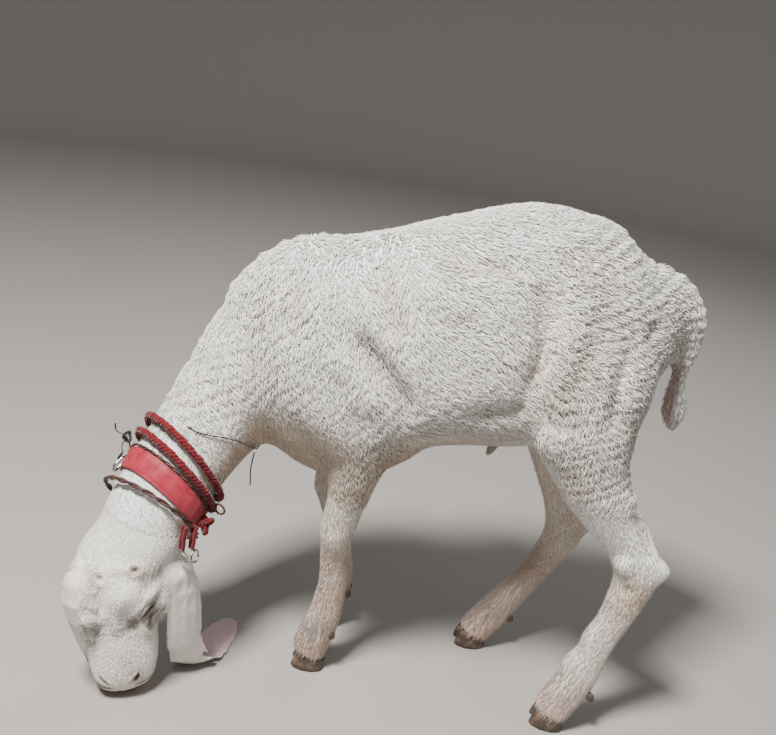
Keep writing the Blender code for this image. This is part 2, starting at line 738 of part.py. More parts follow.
EAR_RIGHT = (
    ((-0.333, -0.156, 0.214), (-0.45, -0.40, 0.80), 0.012, 150),
    ((-0.350, -0.180, 0.203), (-0.62, -0.62, 0.45), 0.016, 120),
    ((-0.3550, -0.1925, 0.182), (-0.66, -0.74, 0.15), 0.019, 80),
    ((-0.3550, -0.1970, 0.158), (-0.64, -0.77, 0.05), 0.020, 60),
    ((-0.3530, -0.1912, 0.128), (-0.66, -0.75, -0.05), 0.020, 50),
    ((-0.3515, -0.1735, 0.092), (-0.76, -0.64, -0.05), 0.020, 50),
    ((-0.350, -0.148, 0.052), (-0.86, -0.50, 0.05), 0.018, 40),
    ((-0.345, -0.112, 0.014), (-0.55, -0.45, 0.70), 0.018, 30),
    ((-0.342, -0.082, 0.0030), (0.00, 0.00, 1.0), 0.019, 10),
    ((-0.341, -0.048, 0.0018), (0.00, 0.00, 1.0), 0.018, 4),
    ((-0.340, -0.026, 0.0012), (0.00, 0.00, 1.0), 0.008, 0),
)


def ear_leaf(stations, rows=13, across=4):
    """Points and faces of a folded leaf along the stations, thick in the middle and thin at its rims."""
    centres = np.array([s[0] for s in stations])
    steps = np.linalg.norm(np.diff(centres, axis=0), axis=1)
    keys = np.concatenate([[0.0], np.cumsum(steps)])
    at = np.linspace(0, keys[-1], rows)
    centre = smooth_through(keys, centres, at)
    outer = smooth_through(keys, np.array([unit(s[1]) for s in stations]), at)
    half_width, curl = smooth_through(keys, np.array([s[2:] for s in stations], float), at).T
    along = np.gradient(centre, axis=0)
    along /= np.linalg.norm(along, axis=1)[:, None]
    outer -= (outer * along).sum(axis=1)[:, None] * along
    outer /= np.linalg.norm(outer, axis=1)[:, None]
    broad = np.cross(along, outer)
    points = []
    for i in range(rows):
        bend = math.radians(max(curl[i], 2.0))
        radius = 2 * half_width[i] / bend
        rim = []
        for u in np.linspace(-1, 1, across + 1):
            turn = u * bend / 2
            normal = math.cos(turn) * outer[i] + math.sin(turn) * broad[i]
            place = centre[i] + radius * (normal - outer[i])
            half = EAR_THICKNESS / 2 * (1 - 0.6 * u * u)
            rim.append((place + half * normal, place - half * normal))
        points.extend(top for top, _ in rim)
        points.extend(under for _, under in reversed(rim))
    points = [np.array((x, y, max(z, 0.0))) for x, y, z in points]
    return points, tube_faces(rows, 2 * (across + 1))


def add_ears(pieces):
    for word, stations in (("left", EAR_LEFT), ("right", EAR_RIGHT)):
        ear = add_object(f"ear_{word}", *ear_leaf(stations), short_hair())
        cut_away(ear, grown_copy(pieces["head"], GAP))


def add_sheath(pieces):
    axes = (unit((-0.35, 0.0, -0.94)), unit((0.94, 0.0, -0.35)), (0.0, 1.0, 0.0))
    ball = ellipsoid((0.160, 0.0, 0.372), (0.028, 0.012, 0.012), axes, 1)
    sheath = add_object("sheath", *ball, short_hair())
    cut_away(sheath, grown_copy(pieces["trunk"], GAP))


# ---------------------------------------------------------------- what it wears round its neck

ROPE_RADIUS = 0.0062
BELT_WIDTH = 0.027
BELT_THICKNESS = 0.0025
WIRE_RADIUS = 0.0016

# Cords that go right round: name, place on the neck's left side, normal of the loop, radius, how far it lies off
# the flesh, how much farther over the nape, sides, finish
LOOPS = (
    ("rope_upper", (-0.238, -0.106, 0.3473), (0.56, 0.62, 0.52), ROPE_RADIUS, 0.0, 0.0, 5, red_rope),
    ("rope_lower", (-0.2423, -0.1142, 0.3251), (0.55, 0.62, 0.56), ROPE_RADIUS, 0.0, 0.0, 5, red_rope),
    ("cord_on_belt", (-0.2540, -0.118, 0.3222), (0.47, 0.68, 0.56), 0.0019, 0.0, 0.0, 4, brown_leather),
    ("cord_lower", (-0.2715, -0.141, 0.2909), (0.34, 0.71, 0.61), 0.0032, 0.0040, 0.006, 4, brown_leather),
)
# The thin thread lies slack round the root of the neck: places near it, round from the left side of the nape
THREAD_RADIUS = 0.0012
THREAD_GUIDES = (
    (-0.262, -0.094, 0.384),
    (-0.230, -0.112, 0.373),
    (-0.200, -0.102, 0.373),
    (-0.174, -0.082, 0.364),
    (-0.158, -0.048, 0.334),
    (-0.158, -0.008, 0.322),
    (-0.165, 0.036, 0.346),
    (-0.195, 0.064, 0.390),
    (-0.245, 0.048, 0.425),
    (-0.290, -0.004, 0.415),
    (-0.298, -0.054, 0.396),
)
BELT_PLACE = (-0.2670, -0.126, 0.3135)
BELT_NORMAL = (0.47, 0.68, 0.56)


def plane_axes(normal):
    """The normal, and two ways across it, the first of them level."""
    normal = unit(normal)
    level = unit(np.cross(WORLD_UP, normal))
    return normal, level, np.cross(normal, level)


def neck_middle(place, normal):
    """Where the middle line of the neck goes through a plane."""
    line = along_path([station[0] for station in NECK], 200)
    return line[int(np.argmin(np.abs((line - np.asarray(place)) @ unit(normal))))]


def ring_round_neck(tree, place, normal, clearance, slack=0.0, count=24):
    """Points round the neck in a plane, so far out that a tube through them clears the flesh.

    The slack is how much farther out they are where they face forward, over the nape.
    """
    normal, level, rise = plane_axes(normal)
    middle = neck_middle(place, normal)
    middle = middle - np.dot(middle - np.asarray(place), normal) * normal
    turns = np.arange(count) * math.tau / count
    ways = np.cos(turns)[:, None] * level + np.sin(turns)[:, None] * rise
    reach = np.array([tree.ray_cast(Vector(middle), Vector(way))[3] for way in ways])
    reach += clearance + slack * np.clip(-ways[:, 0], 0, 1) ** 2
    reach = np.maximum(reach, (np.roll(reach, 1) + 2 * reach + np.roll(reach, -1)) / 4)
    for _ in range(30):
        ring = middle + reach[:, None] * ways
        short = np.zeros(count)
        for i in range(count):
            for share in (0.0, 0.33, 0.67):
                place = (1 - share) * ring[i] + share * ring[(i + 1) % count]
                near = tree.find_nearest(Vector(place))[3]
                if near < clearance:
                    lack = clearance - near
                    short[i] = max(short[i], lack)
                    short[(i + 1) % count] = max(short[(i + 1) % count], lack if share else 0.0)
        if short.max() < 1e-5:
            break
        reach += short + 1e-5
    return middle + reach[:, None] * ways


def ring_on_flesh(tree, guides, clearance, count=30):
    """Points on a closed curve near the guides, each as far off the flesh as the clearance."""
    wrapped = [*guides[-3:], *guides, *guides[:3]]
    keys = np.arange(len(wrapped), dtype=float)
    at = 3 + np.arange(count) * len(guides) / count
    ring = smooth_through(keys, np.array(wrapped), at)
    for _ in range(12):
        lifted = []
        for place in ring:
            near, normal, _, _ = tree.find_nearest(Vector(place))
            lifted.append(np.array(near) + (clearance + 0.0012) * np.array(normal))
        ring = np.array(lifted)
        ring = (np.roll(ring, 1, axis=0) + 6 * ring + np.roll(ring, -1, axis=0)) / 8
    return ring


def tube_through(path, radius, sides, closed_loop, start_across=None):
    """Points and faces of a round tube along a path."""
    path = np.asarray(path, float)
    count = len(path)
    if closed_loop:
        along = np.roll(path, -1, axis=0) - np.roll(path, 1, axis=0)
    else:
        along = np.gradient(path, axis=0)
    along /= np.linalg.norm(along, axis=1)[:, None]
    across = unit(np.cross(along[0], WORLD_UP if start_across is None else start_across))
    middle = path.mean(axis=0)
    turns = np.arange(sides) * math.tau / sides
    points = []
    for i in range(count):
        if closed_loop:
            across = path[i] - middle
        across = unit(across - np.dot(across, along[i]) * along[i])
        other = np.cross(along[i], across)
        for turn in turns:
            points.append(path[i] + radius * (math.cos(turn) * across + math.sin(turn) * other))
    return points, tube_faces(count, sides, closed_loop)


def belt(tree):
    """Points and faces of the flat belt, and the ring through its middle."""
    normal, _, _ = plane_axes(BELT_NORMAL)
    rings = []
    for share in (-0.5, 0.5):
        place = np.array(BELT_PLACE) + share * BELT_WIDTH * normal
        rings.append(ring_round_neck(tree, place, BELT_NORMAL, 2 * STANDOFF))
    middle = (rings[0].mean(axis=0) + rings[1].mean(axis=0)) / 2
    points = []
    for low, high in zip(*rings):
        out = unit((low + high) / 2 - middle)
        shift = BELT_THICKNESS * out
        points.extend((low, low + shift, high + shift, high))
    return points, tube_faces(len(rings[0]), 4, True), (rings[0] + rings[1]) / 2, normal


def add_worn(tree):
    """All that is round the neck. The tree is that of the whole flesh."""
    worn = []
    for name, place, normal, radius, lift, slack, sides, finish in LOOPS:
        ring = ring_round_neck(tree, place, normal, radius + STANDOFF + lift, slack)
        worn.append(add_object(name, *tube_through(ring, radius, sides, True), finish()))
    ring = ring_on_flesh(tree, THREAD_GUIDES, THREAD_RADIUS + STANDOFF)
    worn.append(add_object("thread", *tube_through(ring, THREAD_RADIUS, 3, True), black_thread()))
    points, faces, ring, normal = belt(tree)
    round_belt = add_object("belt", points, faces, pink_leather())
    buckle = add_buckle(ring, normal)
    for other in [round_belt, *worn]:
        cut_away(buckle, grown_copy(other, GAP))
    return [*worn, round_belt, buckle]


def add_buckle(ring, normal):
    """A wire frame that lies on the belt where it faces forward."""
    at = int(np.argmin(ring[:, 0]))
    out = unit(ring[at] - ring.mean(axis=0))
    along = unit(np.cross(normal, out))
    middle = ring[at] + (BELT_THICKNESS + WIRE_RADIUS + 2 * STANDOFF) * out
    path = []
    for i in range(12):
        turn = math.tau * i / 12
        wide = 0.019 * math.copysign(abs(math.cos(turn)) ** 0.5, math.cos(turn))
        high = 0.011 * math.copysign(abs(math.sin(turn)) ** 0.5, math.sin(turn))
        path.append(middle + wide * normal + high * along)
    return add_object("buckle", *tube_through(path, WIRE_RADIUS, 4, True), steel())


def strip(path, across, width, thickness):
    """Points and faces of a flat strap end along a path."""
    path = along_path(path, 5)
    along = np.gradient(path, axis=0)
    across = unit(across)
    points = []
    for place, way in zip(path, along):
        out = unit(np.cross(way, across))
        for i, j in ((-1, -1), (1, -1), (1, 1), (-1, 1)):
            points.append(place + i * width / 2 * across + j * thickness / 2 * out)
    return points, tube_faces(5, 4)


def wire_ring(middle, normal, radius, wire):
    _, level, rise = plane_axes(normal)
    turns = np.arange(10) * math.tau / 10
    path = [np.array(middle) + radius * (math.cos(t) * level + math.sin(t) * rise) for t in turns]
    return tube_through(path, wire, 4, True)


# What hangs at the throat and by the buckle
KNOTS = (  # name, middle, radii, finish
    ("knot_throat", (-0.204, -0.116, 0.250), (0.009, 0.009, 0.013), red_rope),
    ("knot_ribbon", (-0.3270, -0.0690, 0.3330), (0.0080, 0.0080, 0.0100), black_thread),
)
WIRE_RINGS = (  # name, middle, normal, finish
    ("ring_front", (-0.222, -0.147, 0.216), (0.5, 0.8, 0.2), steel),
    ("ring_back", (-0.209, -0.141, 0.215), (0.9, -0.3, 0.2), steel),
    ("loop_black", (-0.190, -0.103, 0.267), (0.3, 0.9, 0.2), brown_leather),
)
WIRE_RING_RADIUS = 0.0083
STRAP_ENDS = (
    ("strap_end_front", ((-0.223, -0.149, 0.262), (-0.225, -0.149, 0.244), (-0.225, -0.148, 0.227))),
    ("strap_end_back", ((-0.210, -0.137, 0.258), (-0.213, -0.141, 0.242), (-0.214, -0.142, 0.226))),
)
STRAP_END_WIDTH = 0.010
STRAP_END_THICKNESS = 0.0022
LOOSE_THREAD = ((-0.1575, -0.0630, 0.3365), (-0.1605, -0.0620, 0.312), (-0.1590, -0.0610, 0.286))


def add_hanging(worn, head):
    hung = []
    for name, middle, radii, finish in KNOTS:
        hung.append(add_object(name, *ellipsoid(middle, radii, None, 1), finish()))
    for name, middle, normal, finish in WIRE_RINGS:
        hung.append(add_object(name, *wire_ring(middle, normal, WIRE_RING_RADIUS, 0.0014), finish()))
    for name, path in STRAP_ENDS:
        faces = strip(path, (0.8, -0.5, 0.0), STRAP_END_WIDTH, STRAP_END_THICKNESS)
        hung.append(add_object(name, *faces, red_rope()))
    loose = along_path(LOOSE_THREAD, 7)
    hung.append(add_object("thread_end", *tube_through(loose, 0.0010, 4, False), black_thread()))
    for i, obj in enumerate(hung):
        for other in [head, *worn, *hung[:i]]:
            cut_away(obj, grown_copy(other, GAP))


# ---------------------------------------------------------------- assembly


def clear_scene():
    for obj in list(bpy.data.objects):
        bpy.data.objects.remove(obj, do_unlink=True)


def centre_on_origin():
    """Puts the bottom centre of the bounding box of everything at the origin."""
    low = np.full(3, np.inf)
    high = -low
    for obj in bpy.data.objects:
        for vertex in obj.data.vertices:
            low = np.minimum(low, vertex.co)
            high = np.maximum(high, vertex.co)
    move = -np.array(((low[0] + high[0]) / 2, (low[1] + high[1]) / 2, low[2]))
    for obj in bpy.data.objects:
        obj.data.transform(Matrix.Translation(Vector(move)))
    print("moved by", *(round(float(value), 6) for value in move))


def main():
    clear_scene()
    flesh = make_flesh()
    tree = tree_of([flesh])
    pieces = name_flesh(cut_flesh(flesh))
    add_eyes(pieces)
    add_ears(pieces)
    add_sheath(pieces)
    add_claws()
    add_dewclaws(pieces)
    add_hanging(add_worn(tree), pieces["head"])
    centre_on_origin()


main()
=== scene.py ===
"""Looks of the shorn sheep: skin with its coat in tufts, eyes, hooves and what it wears, round the CAD frame.

The skin is grown from the CAD's flesh nodes, so every place comes from the frame. Its points carry where the
coat lies, how woolly it is and the colour of its markings and painted shade, and the tufts take them over at
their roots.
"""

import math
from types import SimpleNamespace

import bmesh
import bpy
import numpy as np
from mathutils import Matrix, Vector
from mathutils.bvhtree import BVHTree
from mathutils.kdtree import KDTree


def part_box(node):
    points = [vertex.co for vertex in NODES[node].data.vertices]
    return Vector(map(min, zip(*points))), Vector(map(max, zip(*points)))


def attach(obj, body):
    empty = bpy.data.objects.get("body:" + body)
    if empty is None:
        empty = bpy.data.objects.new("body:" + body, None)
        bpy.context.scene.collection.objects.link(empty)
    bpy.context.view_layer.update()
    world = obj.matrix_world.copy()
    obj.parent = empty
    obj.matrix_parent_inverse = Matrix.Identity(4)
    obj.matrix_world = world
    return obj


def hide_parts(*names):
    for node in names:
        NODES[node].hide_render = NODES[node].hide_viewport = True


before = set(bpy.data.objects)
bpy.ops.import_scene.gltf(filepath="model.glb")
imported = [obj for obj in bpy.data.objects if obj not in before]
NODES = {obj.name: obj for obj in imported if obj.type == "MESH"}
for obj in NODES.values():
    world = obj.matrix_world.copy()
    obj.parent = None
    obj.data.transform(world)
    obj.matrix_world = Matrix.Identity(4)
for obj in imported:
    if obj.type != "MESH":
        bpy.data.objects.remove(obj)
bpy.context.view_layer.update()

FLESH = ["trunk", "neck", "head", "tail", "sheath", "ear_left", "ear_right"]
FLESH += [f"{pair}_{part}_{side}" for pair in ("foreleg", "hindleg") for part in ("upper", "lower")
          for side in ("left", "right")]
PARTS = np.array([name.removesuffix("_left").removesuffix("_right") for name in FLESH])
HEAD = FLESH.index("head")
EARS = [FLESH.index(name) for name in ("ear_left", "ear_right")]

SKIN_VOXEL = 0.0034
WOOL_DEPTH = 0.0024  # of the skin under the tips where it is woolliest
HAIR_DEPTH = 0.0010  # and where the hair is shortest

RIPPLE = 0.0135  # from crest to crest of the wool
ROLL_HEIGHT = 0.0021  # of the skin in them
MIDLINE = np.array((-0.019067, 0.039599, 0.0))  # of the body, where its own measures start


def body_place(*point):
    return MIDLINE + np.array(point)


# The head: from the poll to the lips, the way the face looks, and to its left
POLL = body_place(-0.312, -0.142, 0.224)
LIPS = body_place(-0.284, -0.157, -0.002)
FACE_TO = np.array((0.46, -0.88, 0.09))
FACE_MIDDLE = -0.006  # of the face's own middle line, to the left of the head's axis


def unit(v):
    v = np.asarray(v, float)
    return v / np.maximum(np.linalg.norm(v, axis=-1, keepdims=True), 1e-12)


HEAD_LENGTH = float(np.linalg.norm(LIPS - POLL))
HEAD_DOWN = unit(LIPS - POLL)
HEAD_FACE = unit(FACE_TO - np.dot(FACE_TO, HEAD_DOWN) * HEAD_DOWN)
HEAD_LEFT = np.cross(HEAD_FACE, HEAD_DOWN)


def head_coordinates(points):
    """Share of the way from poll to lips, metres towards the face, metres to the left of its middle."""
    r = points - POLL
    return np.stack([r @ HEAD_DOWN / HEAD_LENGTH, r @ HEAD_FACE, r @ HEAD_LEFT - FACE_MIDDLE], axis=-1)


def head_place(share, face, left):
    return POLL + share * HEAD_LENGTH * HEAD_DOWN + face * HEAD_FACE + (left + FACE_MIDDLE) * HEAD_LEFT


# ---------------------------------------------------------------- noise


def lattice(i, j, k, seed):
    n = (i * 374761393 + j * 668265263 + k * 1274126177 + seed * 974634777) & 0xFFFFFFFF
    n = ((n ^ (n >> 13)) * 1103515245) & 0xFFFFFFFF
    n = ((n ^ (n >> 15)) * 2246822519) & 0xFFFFFFFF
    return ((n ^ (n >> 16)) & 0xFFFF) / 32767.5 - 1.0


def noise(points, size, seed=0):
    """Smooth noise from -1 to 1, with features of about the size."""
    q = points / size + 1000.0
    base = np.floor(q).astype(np.int64)
    f = q - base
    f = f * f * (3 - 2 * f)
    total = np.zeros(len(points))
    for a in (0, 1):
        for b in (0, 1):
            for c in (0, 1):
                weight = (np.where(a, f[:, 0], 1 - f[:, 0]) * np.where(b, f[:, 1], 1 - f[:, 1])
                          * np.where(c, f[:, 2], 1 - f[:, 2]))
                total += weight * lattice(base[:, 0] + a, base[:, 1] + b, base[:, 2] + c, seed)
    return total


def ramp(x, low, high):
    """0 at the low end and 1 at the high one, smooth between."""
    t = np.clip((x - low) / (high - low), 0, 1)
    return t * t * (3 - 2 * t)


def half_noise(points, size, seed):
    """The same noise from 0 to 1."""
    return 0.5 + 0.5 * noise(points, size, seed)


def bell(across, width, along=0.0, reach=1.0, power=2):
    """1 in the middle, falling off over the width and, by the power, over the reach along it."""
    return np.exp(-((across / width) ** 2) - (along / reach) ** power)


def bump_at(points, centre, radius):
    """1 at the centre, falling smoothly to 0 at the radius."""
    d = np.linalg.norm(points - np.asarray(centre), axis=1) / radius
    return np.where(d < 1, (1 - np.minimum(d, 1) ** 2) ** 2, 0.0)


# ---------------------------------------------------------------- mesh tools


def mesh_object(name, points, faces):
    mesh = bpy.data.meshes.new(name)
    points = np.asarray(points, dtype=np.float32)
    if isinstance(faces, np.ndarray):
        count, sides = faces.shape
        mesh.vertices.add(len(points))
        mesh.vertices.foreach_set("co", points.ravel())
        mesh.loops.add(count * sides)
        mesh.loops.foreach_set("vertex_index", faces.astype(np.int32).ravel())
        mesh.polygons.add(count)
        mesh.polygons.foreach_set("loop_start", np.arange(0, count * sides, sides, dtype=np.int32))
        mesh.update(calc_edges=True)
    else:
        mesh.from_pydata([tuple(map(float, p)) for p in points], [], [tuple(map(int, f)) for f in faces])
    set_smooth(mesh)
    mesh.update()
    return in_scene(name, mesh)


def settle(obj):
    """Bakes the object's modifiers into its mesh."""
    graph = bpy.context.evaluated_depsgraph_get()
    mesh = bpy.data.meshes.new_from_object(obj.evaluated_get(graph), depsgraph=graph)
    obj.modifiers.clear()
    old = obj.data
    obj.data = mesh
    bpy.data.meshes.remove(old)
    return obj


def welded(names, grow=0.0):
    """Points and faces of several CAD nodes, each grown a little, in one mesh."""
    points = []
    faces = []
    for name in names:
        bm = bmesh.new()
        bm.from_mesh(NODES[name].data)
        bmesh.ops.remove_doubles(bm, verts=bm.verts, dist=1e-5)
        bm.normal_update()
        start = len(points)
        for vertex in bm.verts:
            points.append(vertex.co + grow * vertex.normal)
        faces.extend([start + v.index for v in face.verts] for face in bm.faces)
        bm.free()
    return points, faces


def remeshed(name, source, voxel):
    obj = mesh_object(name, *source)
    remesh = obj.modifiers.new("remesh", "REMESH")
    remesh.mode = "VOXEL"
    remesh.voxel_size = voxel
    remesh.use_smooth_shade = True
    return settle(obj)


def read(items, field, sides, kind=np.float32):
    """A field of a mesh's items, as rows of so many numbers."""
    values = np.empty(len(items) * sides, dtype=kind)
    items.foreach_get(field, values)
    return values.reshape(-1, sides)


def coordinates(mesh):
    return read(mesh.vertices, "co", 3).astype(float)


def set_coordinates(mesh, points):
    mesh.vertices.foreach_set("co", points.astype(np.float32).ravel())
    mesh.update()


def normals_of(mesh):
    mesh.update()
    return read(mesh.vertex_normals, "vector", 3).astype(float)


def set_smooth(mesh):
    mesh.polygons.foreach_set("use_smooth", np.full(len(mesh.polygons), True))


def in_scene(name, data):
    obj = bpy.data.objects.new(name, data)
    bpy.context.scene.collection.objects.link(obj)
    return obj


class Neighbours:
    """For smoothing values over a mesh's points."""

    def __init__(self, mesh):
        edges = read(mesh.edges, "vertices", 2, np.int32)
        count = len(mesh.vertices)
        ends = np.concatenate([edges[:, 0], edges[:, 1]])
        others = np.concatenate([edges[:, 1], edges[:, 0]])
        order = np.argsort(ends, kind="stable")
        ends = ends[order]
        self.others = others[order]
        self.starts = np.searchsorted(ends, np.arange(count))
        self.valence = np.bincount(ends, minlength=count).astype(float)

    def mean(self, values):
        total = np.add.reduceat(values[self.others], self.starts, axis=0)
        return total / (self.valence[:, None] if values.ndim > 1 else self.valence)

    def smooth(self, values, rounds, share=0.5):
        for _ in range(rounds):
            values = values + share * (self.mean(values) - values)
        return values


def add_attribute(mesh, name, values):
    kind, field = ("FLOAT", "value") if values.ndim == 1 else ("FLOAT_VECTOR", "vector")
    layer = mesh.attributes.new(name, kind, "POINT")
    layer.data.foreach_set(field, values.astype(np.float32).ravel())


def add_tint(mesh, tint):
    layer = mesh.color_attributes.new("markings_and_shade", "FLOAT_COLOR", "POINT")
    colour = np.concatenate([tint, np.ones((len(tint), 1))], axis=1)
    layer.data.foreach_set("color", colour.astype(np.float32).ravel())


def search_tree(points):
    tree = KDTree(len(points))
    for i, p in enumerate(points.tolist()):
        tree.insert(p, i)
    tree.balance()
    return tree


def dress(obj, material, slot, nodes=()):
    """Gives a piece its material, sets it under the root and hides the CAD nodes that it stands for; its slot
    is not used.
    """
    obj.data.materials.append(material)
    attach(obj, "root")
    if nodes:
        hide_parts(*nodes)
    return obj


# ---------------------------------------------------------------- skin


def tree_of(names):
    """A search tree over the faces of several CAD nodes, and which node each face belongs to."""
    vertices = []
    faces = []
    owner = []
    for i, name in enumerate(names):
        start = len(vertices)
        mesh = NODES[name].data
        vertices.extend(v.co.copy() for v in mesh.vertices)
        for polygon in mesh.polygons:
            faces.append([start + v for v in polygon.vertices])
            owner.append(i)
    return BVHTree.FromPolygons(vertices, faces), owner


def nearest_nodes(points):
    """Which of the flesh's nodes is nearest to each point."""
    tree, owner = tree_of(FLESH)
    return np.array([owner[tree.find_nearest(p)[2]] for p in points.tolist()])


def brought_onto(points, names, share):
    """Points brought onto the faces of the nodes, each by its share."""
    tree = tree_of(names)[0]
    points = points.copy()
    for i in np.nonzero(share > 0.01)[0]:
        place, _, _, distance = tree.find_nearest(points[i])
        if distance < 0.004:
            points[i] += share[i] * (np.array(place) - points[i])
    return points


# The way that the hair lies on each part, before it is brought onto the surface
LIES = {
    "neck": (0.55, -0.10, -0.80), "head": -HEAD_DOWN + 0.25 * HEAD_FACE, "ear": (0.03, 0.10, -1.0),
    "tail": (0.15, 0.0, -1.0), "sheath": (-0.3, 0.0, -1.0),
    "foreleg_upper": (0.18, 0.0, -0.98), "foreleg_lower": (-0.05, 0.0, -1.0),
    "hindleg_upper": (0.12, 0.0, -1.0), "hindleg_lower": (-0.35, 0.0, -0.94),
}


def between(share, start, end):
    """A way that turns from the start to the end by the share."""
    return (1 - share) * np.array(start) + share * np.array(end)


def lie_of(nearest, points):
    """The way that the hair lies. On the trunk it turns from the back to the shoulders, and down the rump."""
    part = PARTS[nearest]
    x, z = points[:, 0], points[:, 2]
    lie = between(ramp(-x, -0.06, 0.06)[:, None], (0.80, 0.0, -0.52), (0.28, 0.0, -0.95))
    haunch = ramp(x, 0.13, 0.21)[:, None]
    lie = lie * (1 - haunch) + haunch * np.array((0.94, 0.0, -0.30))
    rump = (ramp(x, 0.14, 0.20) * ramp(0.58 - z, 0.0, 0.12))[:, None]
    lie = lie * (1 - rump) + rump * np.array((0.34, 0.0, -0.94))
    for name, way in LIES.items():
        lie[part == name] = way
    lie[(part == "ear") & (z < 0.022)] = (0.30, 0.95, 0.0)
    return lie


def wool_of(nearest, points, normals):
    """How woolly the coat is: 1 on the back and haunches, 0 on the face and the lower legs."""
    x, z = points[:, 0], points[:, 2]
    under = ramp(-normals[:, 2], 0.15, 0.65) * ramp(0.46 - z, 0.0, 0.06)
    brisket = ramp(-x, 0.0, 0.09) * ramp(0.470 - z, 0.0, 0.10)
    wool = np.zeros(len(points))
    for name, amount in (("trunk", 1 - np.maximum(under, brisket)), ("neck", 0.85 * ramp(z, 0.33, 0.42)),
                         ("tail", 0.55), ("foreleg_upper", 0.75 * ramp(z, 0.385, 0.465)),
                         ("foreleg_lower", 0.05), ("hindleg_upper", 0.10 + 0.90 * ramp(z, 0.325, 0.42)),
                         ("hindleg_lower", 0.10)):
        wool = np.where(PARTS[nearest] == name, amount, wool)
    return wool


def subdivide_near(obj, places):
    """Halves the faces that lie near the places, given as (centre, radius)."""
    bm = bmesh.new()
    bm.from_mesh(obj.data)
    chosen = set()
    spots = [(Vector(c), r * r) for c, r in places]
    for edge in bm.edges:
        middle = (edge.verts[0].co + edge.verts[1].co) / 2
        if any((middle - c).length_squared < r2 for c, r2 in spots):
            chosen.add(edge)
    bmesh.ops.subdivide_edges(bm, edges=list(chosen), cuts=1, use_grid_fill=True)
    bmesh.ops.triangulate(bm, faces=[f for f in bm.faces if len(f.verts) > 4])
    bm.to_mesh(obj.data)
    bm.free()


class Eye:
    """Where an eye lies: its middle, the ways out and up, and the way from its front to its back corner.

    It is parted by a share: 1 is open, as far as its heavy lid lets it be.
    """

    def __init__(self, name, side, out, parted):
        low, high = map(np.array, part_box(name))
        self.middle = (low + high) / 2
        self.radius = float((high - low).max()) / 2
        self.out = out = unit(out)
        self.parted = parted
        along = -0.62 * HEAD_DOWN + side * 0.70 * HEAD_LEFT
        self.along = unit(along - np.dot(along, out) * out)
        self.up = unit(np.cross(self.along, self.out) * side)
        if np.dot(self.up, HEAD_DOWN) > 0:
            self.up = -self.up


EYES = {
    "eye_left": Eye("eye_left", 1, 0.95 * HEAD_FACE + 0.36 * HEAD_LEFT - 0.20 * HEAD_DOWN, 1.0),
    "eye_right": Eye("eye_right", -1, 0.65 * HEAD_FACE - HEAD_LEFT, 0.35),
}
LID_HALF_LENGTH = 0.0084
LID_HALF_HEIGHT = 0.0030
LID_FADE = 0.030  # from the eye's middle to where its lids have run out


def shape_lids(points, eye, on_head):
    """Opens an almond over the eyeball, with thick lids round it, the upper one heavy and half closed.

    It also gives how far each point near the ball is from the opening, and 1 elsewhere.
    """
    r = points - eye.middle
    distance = np.linalg.norm(r, axis=1)
    a = r @ eye.along
    u = r @ eye.up + 0.10 * a
    o = r @ eye.out
    near = (distance < LID_FADE) & (o > -0.002) & (on_head | (distance < eye.radius + 0.0009))
    gap = LID_HALF_HEIGHT * eye.parted * np.clip(1 - (a / LID_HALF_LENGTH) ** 2, 0, 1)
    off = np.abs(u + 0.0012) - gap
    off = np.maximum(off, np.abs(a) - LID_HALF_LENGTH)
    lid = eye.radius + 0.0016
    # the rim lies over the ball, the opening under it, and the rest of the lid runs out to the old skin
    rim = ramp(0.0120 - off, 0.0, 0.0095) * ramp(off, -0.0022, -0.0002)
    crease = 0.0013 * bell(off - 0.0055, 0.0010) * (u > 0)
    crease += 0.0009 * bell(off - 0.0050, 0.0010) * (u < 0)
    crease += 0.0007 * bell(off - 0.0092, 0.0012)
    crease = crease * eye.parted
    reach = np.where(distance < lid, distance + rim * (lid - distance), distance)
    brow = 0.0024 * eye.parted * bell(u - 0.0105, 0.0042, a, 0.013)
    reach = reach + 0.0007 * bell(off - 0.0014, 0.0013) - crease + brow
    reach = np.where((off > 0.0003) & (o > 0), np.maximum(reach, eye.radius + 0.0009), reach)
    hole = ramp(-off, 0.0002, 0.0012)
    reach = reach * (1 - hole) + hole * (eye.radius - 0.0030)
    fade = ramp(LID_FADE - distance, 0.0, 0.006)
    moved = eye.middle + reach[:, None] * unit(r)
    blend = (near * fade)[:, None]
    close = near & (np.abs(distance - eye.radius) < 0.0055)
    return points * (1 - blend) + moved * blend, np.where(close, off, 1.0)


NOSTRIL = (0.838, 0.0212)  # share of the way down, and how far it is from the muzzle's middle
MUZZLE_MIDDLE = -0.0047
BUDS = ((0.104, 0.020), (0.137, -0.023))  # horn buds: share of the way down, and how far to the left
SIDES = (-1, 1)  # right and left


def from_nostril(share, left, side):
    """How far points are from a nostril, down and outward."""
    return (share - NOSTRIL[0]) * HEAD_LENGTH, side * (left - MUZZLE_MIDDLE) - NOSTRIL[1]


def from_bud(share, left, bud):
    """How far points are from a horn bud, down and to the left."""
    return (share - bud[0]) * HEAD_LENGTH, left - bud[1]


def mouth_line(share, face, left, width):
    """1 along the mouth, low on both sides of the muzzle."""
    return bell(share - 0.915 + 0.9 * (0.030 - face), width) * ramp(np.abs(left), 0.010, 0.020)


def ridge(across, width, along=0.0, half=1.0):
    """A rounded line of the width, as long as the half on both sides."""
    return bell(across, width, along, half, 4)


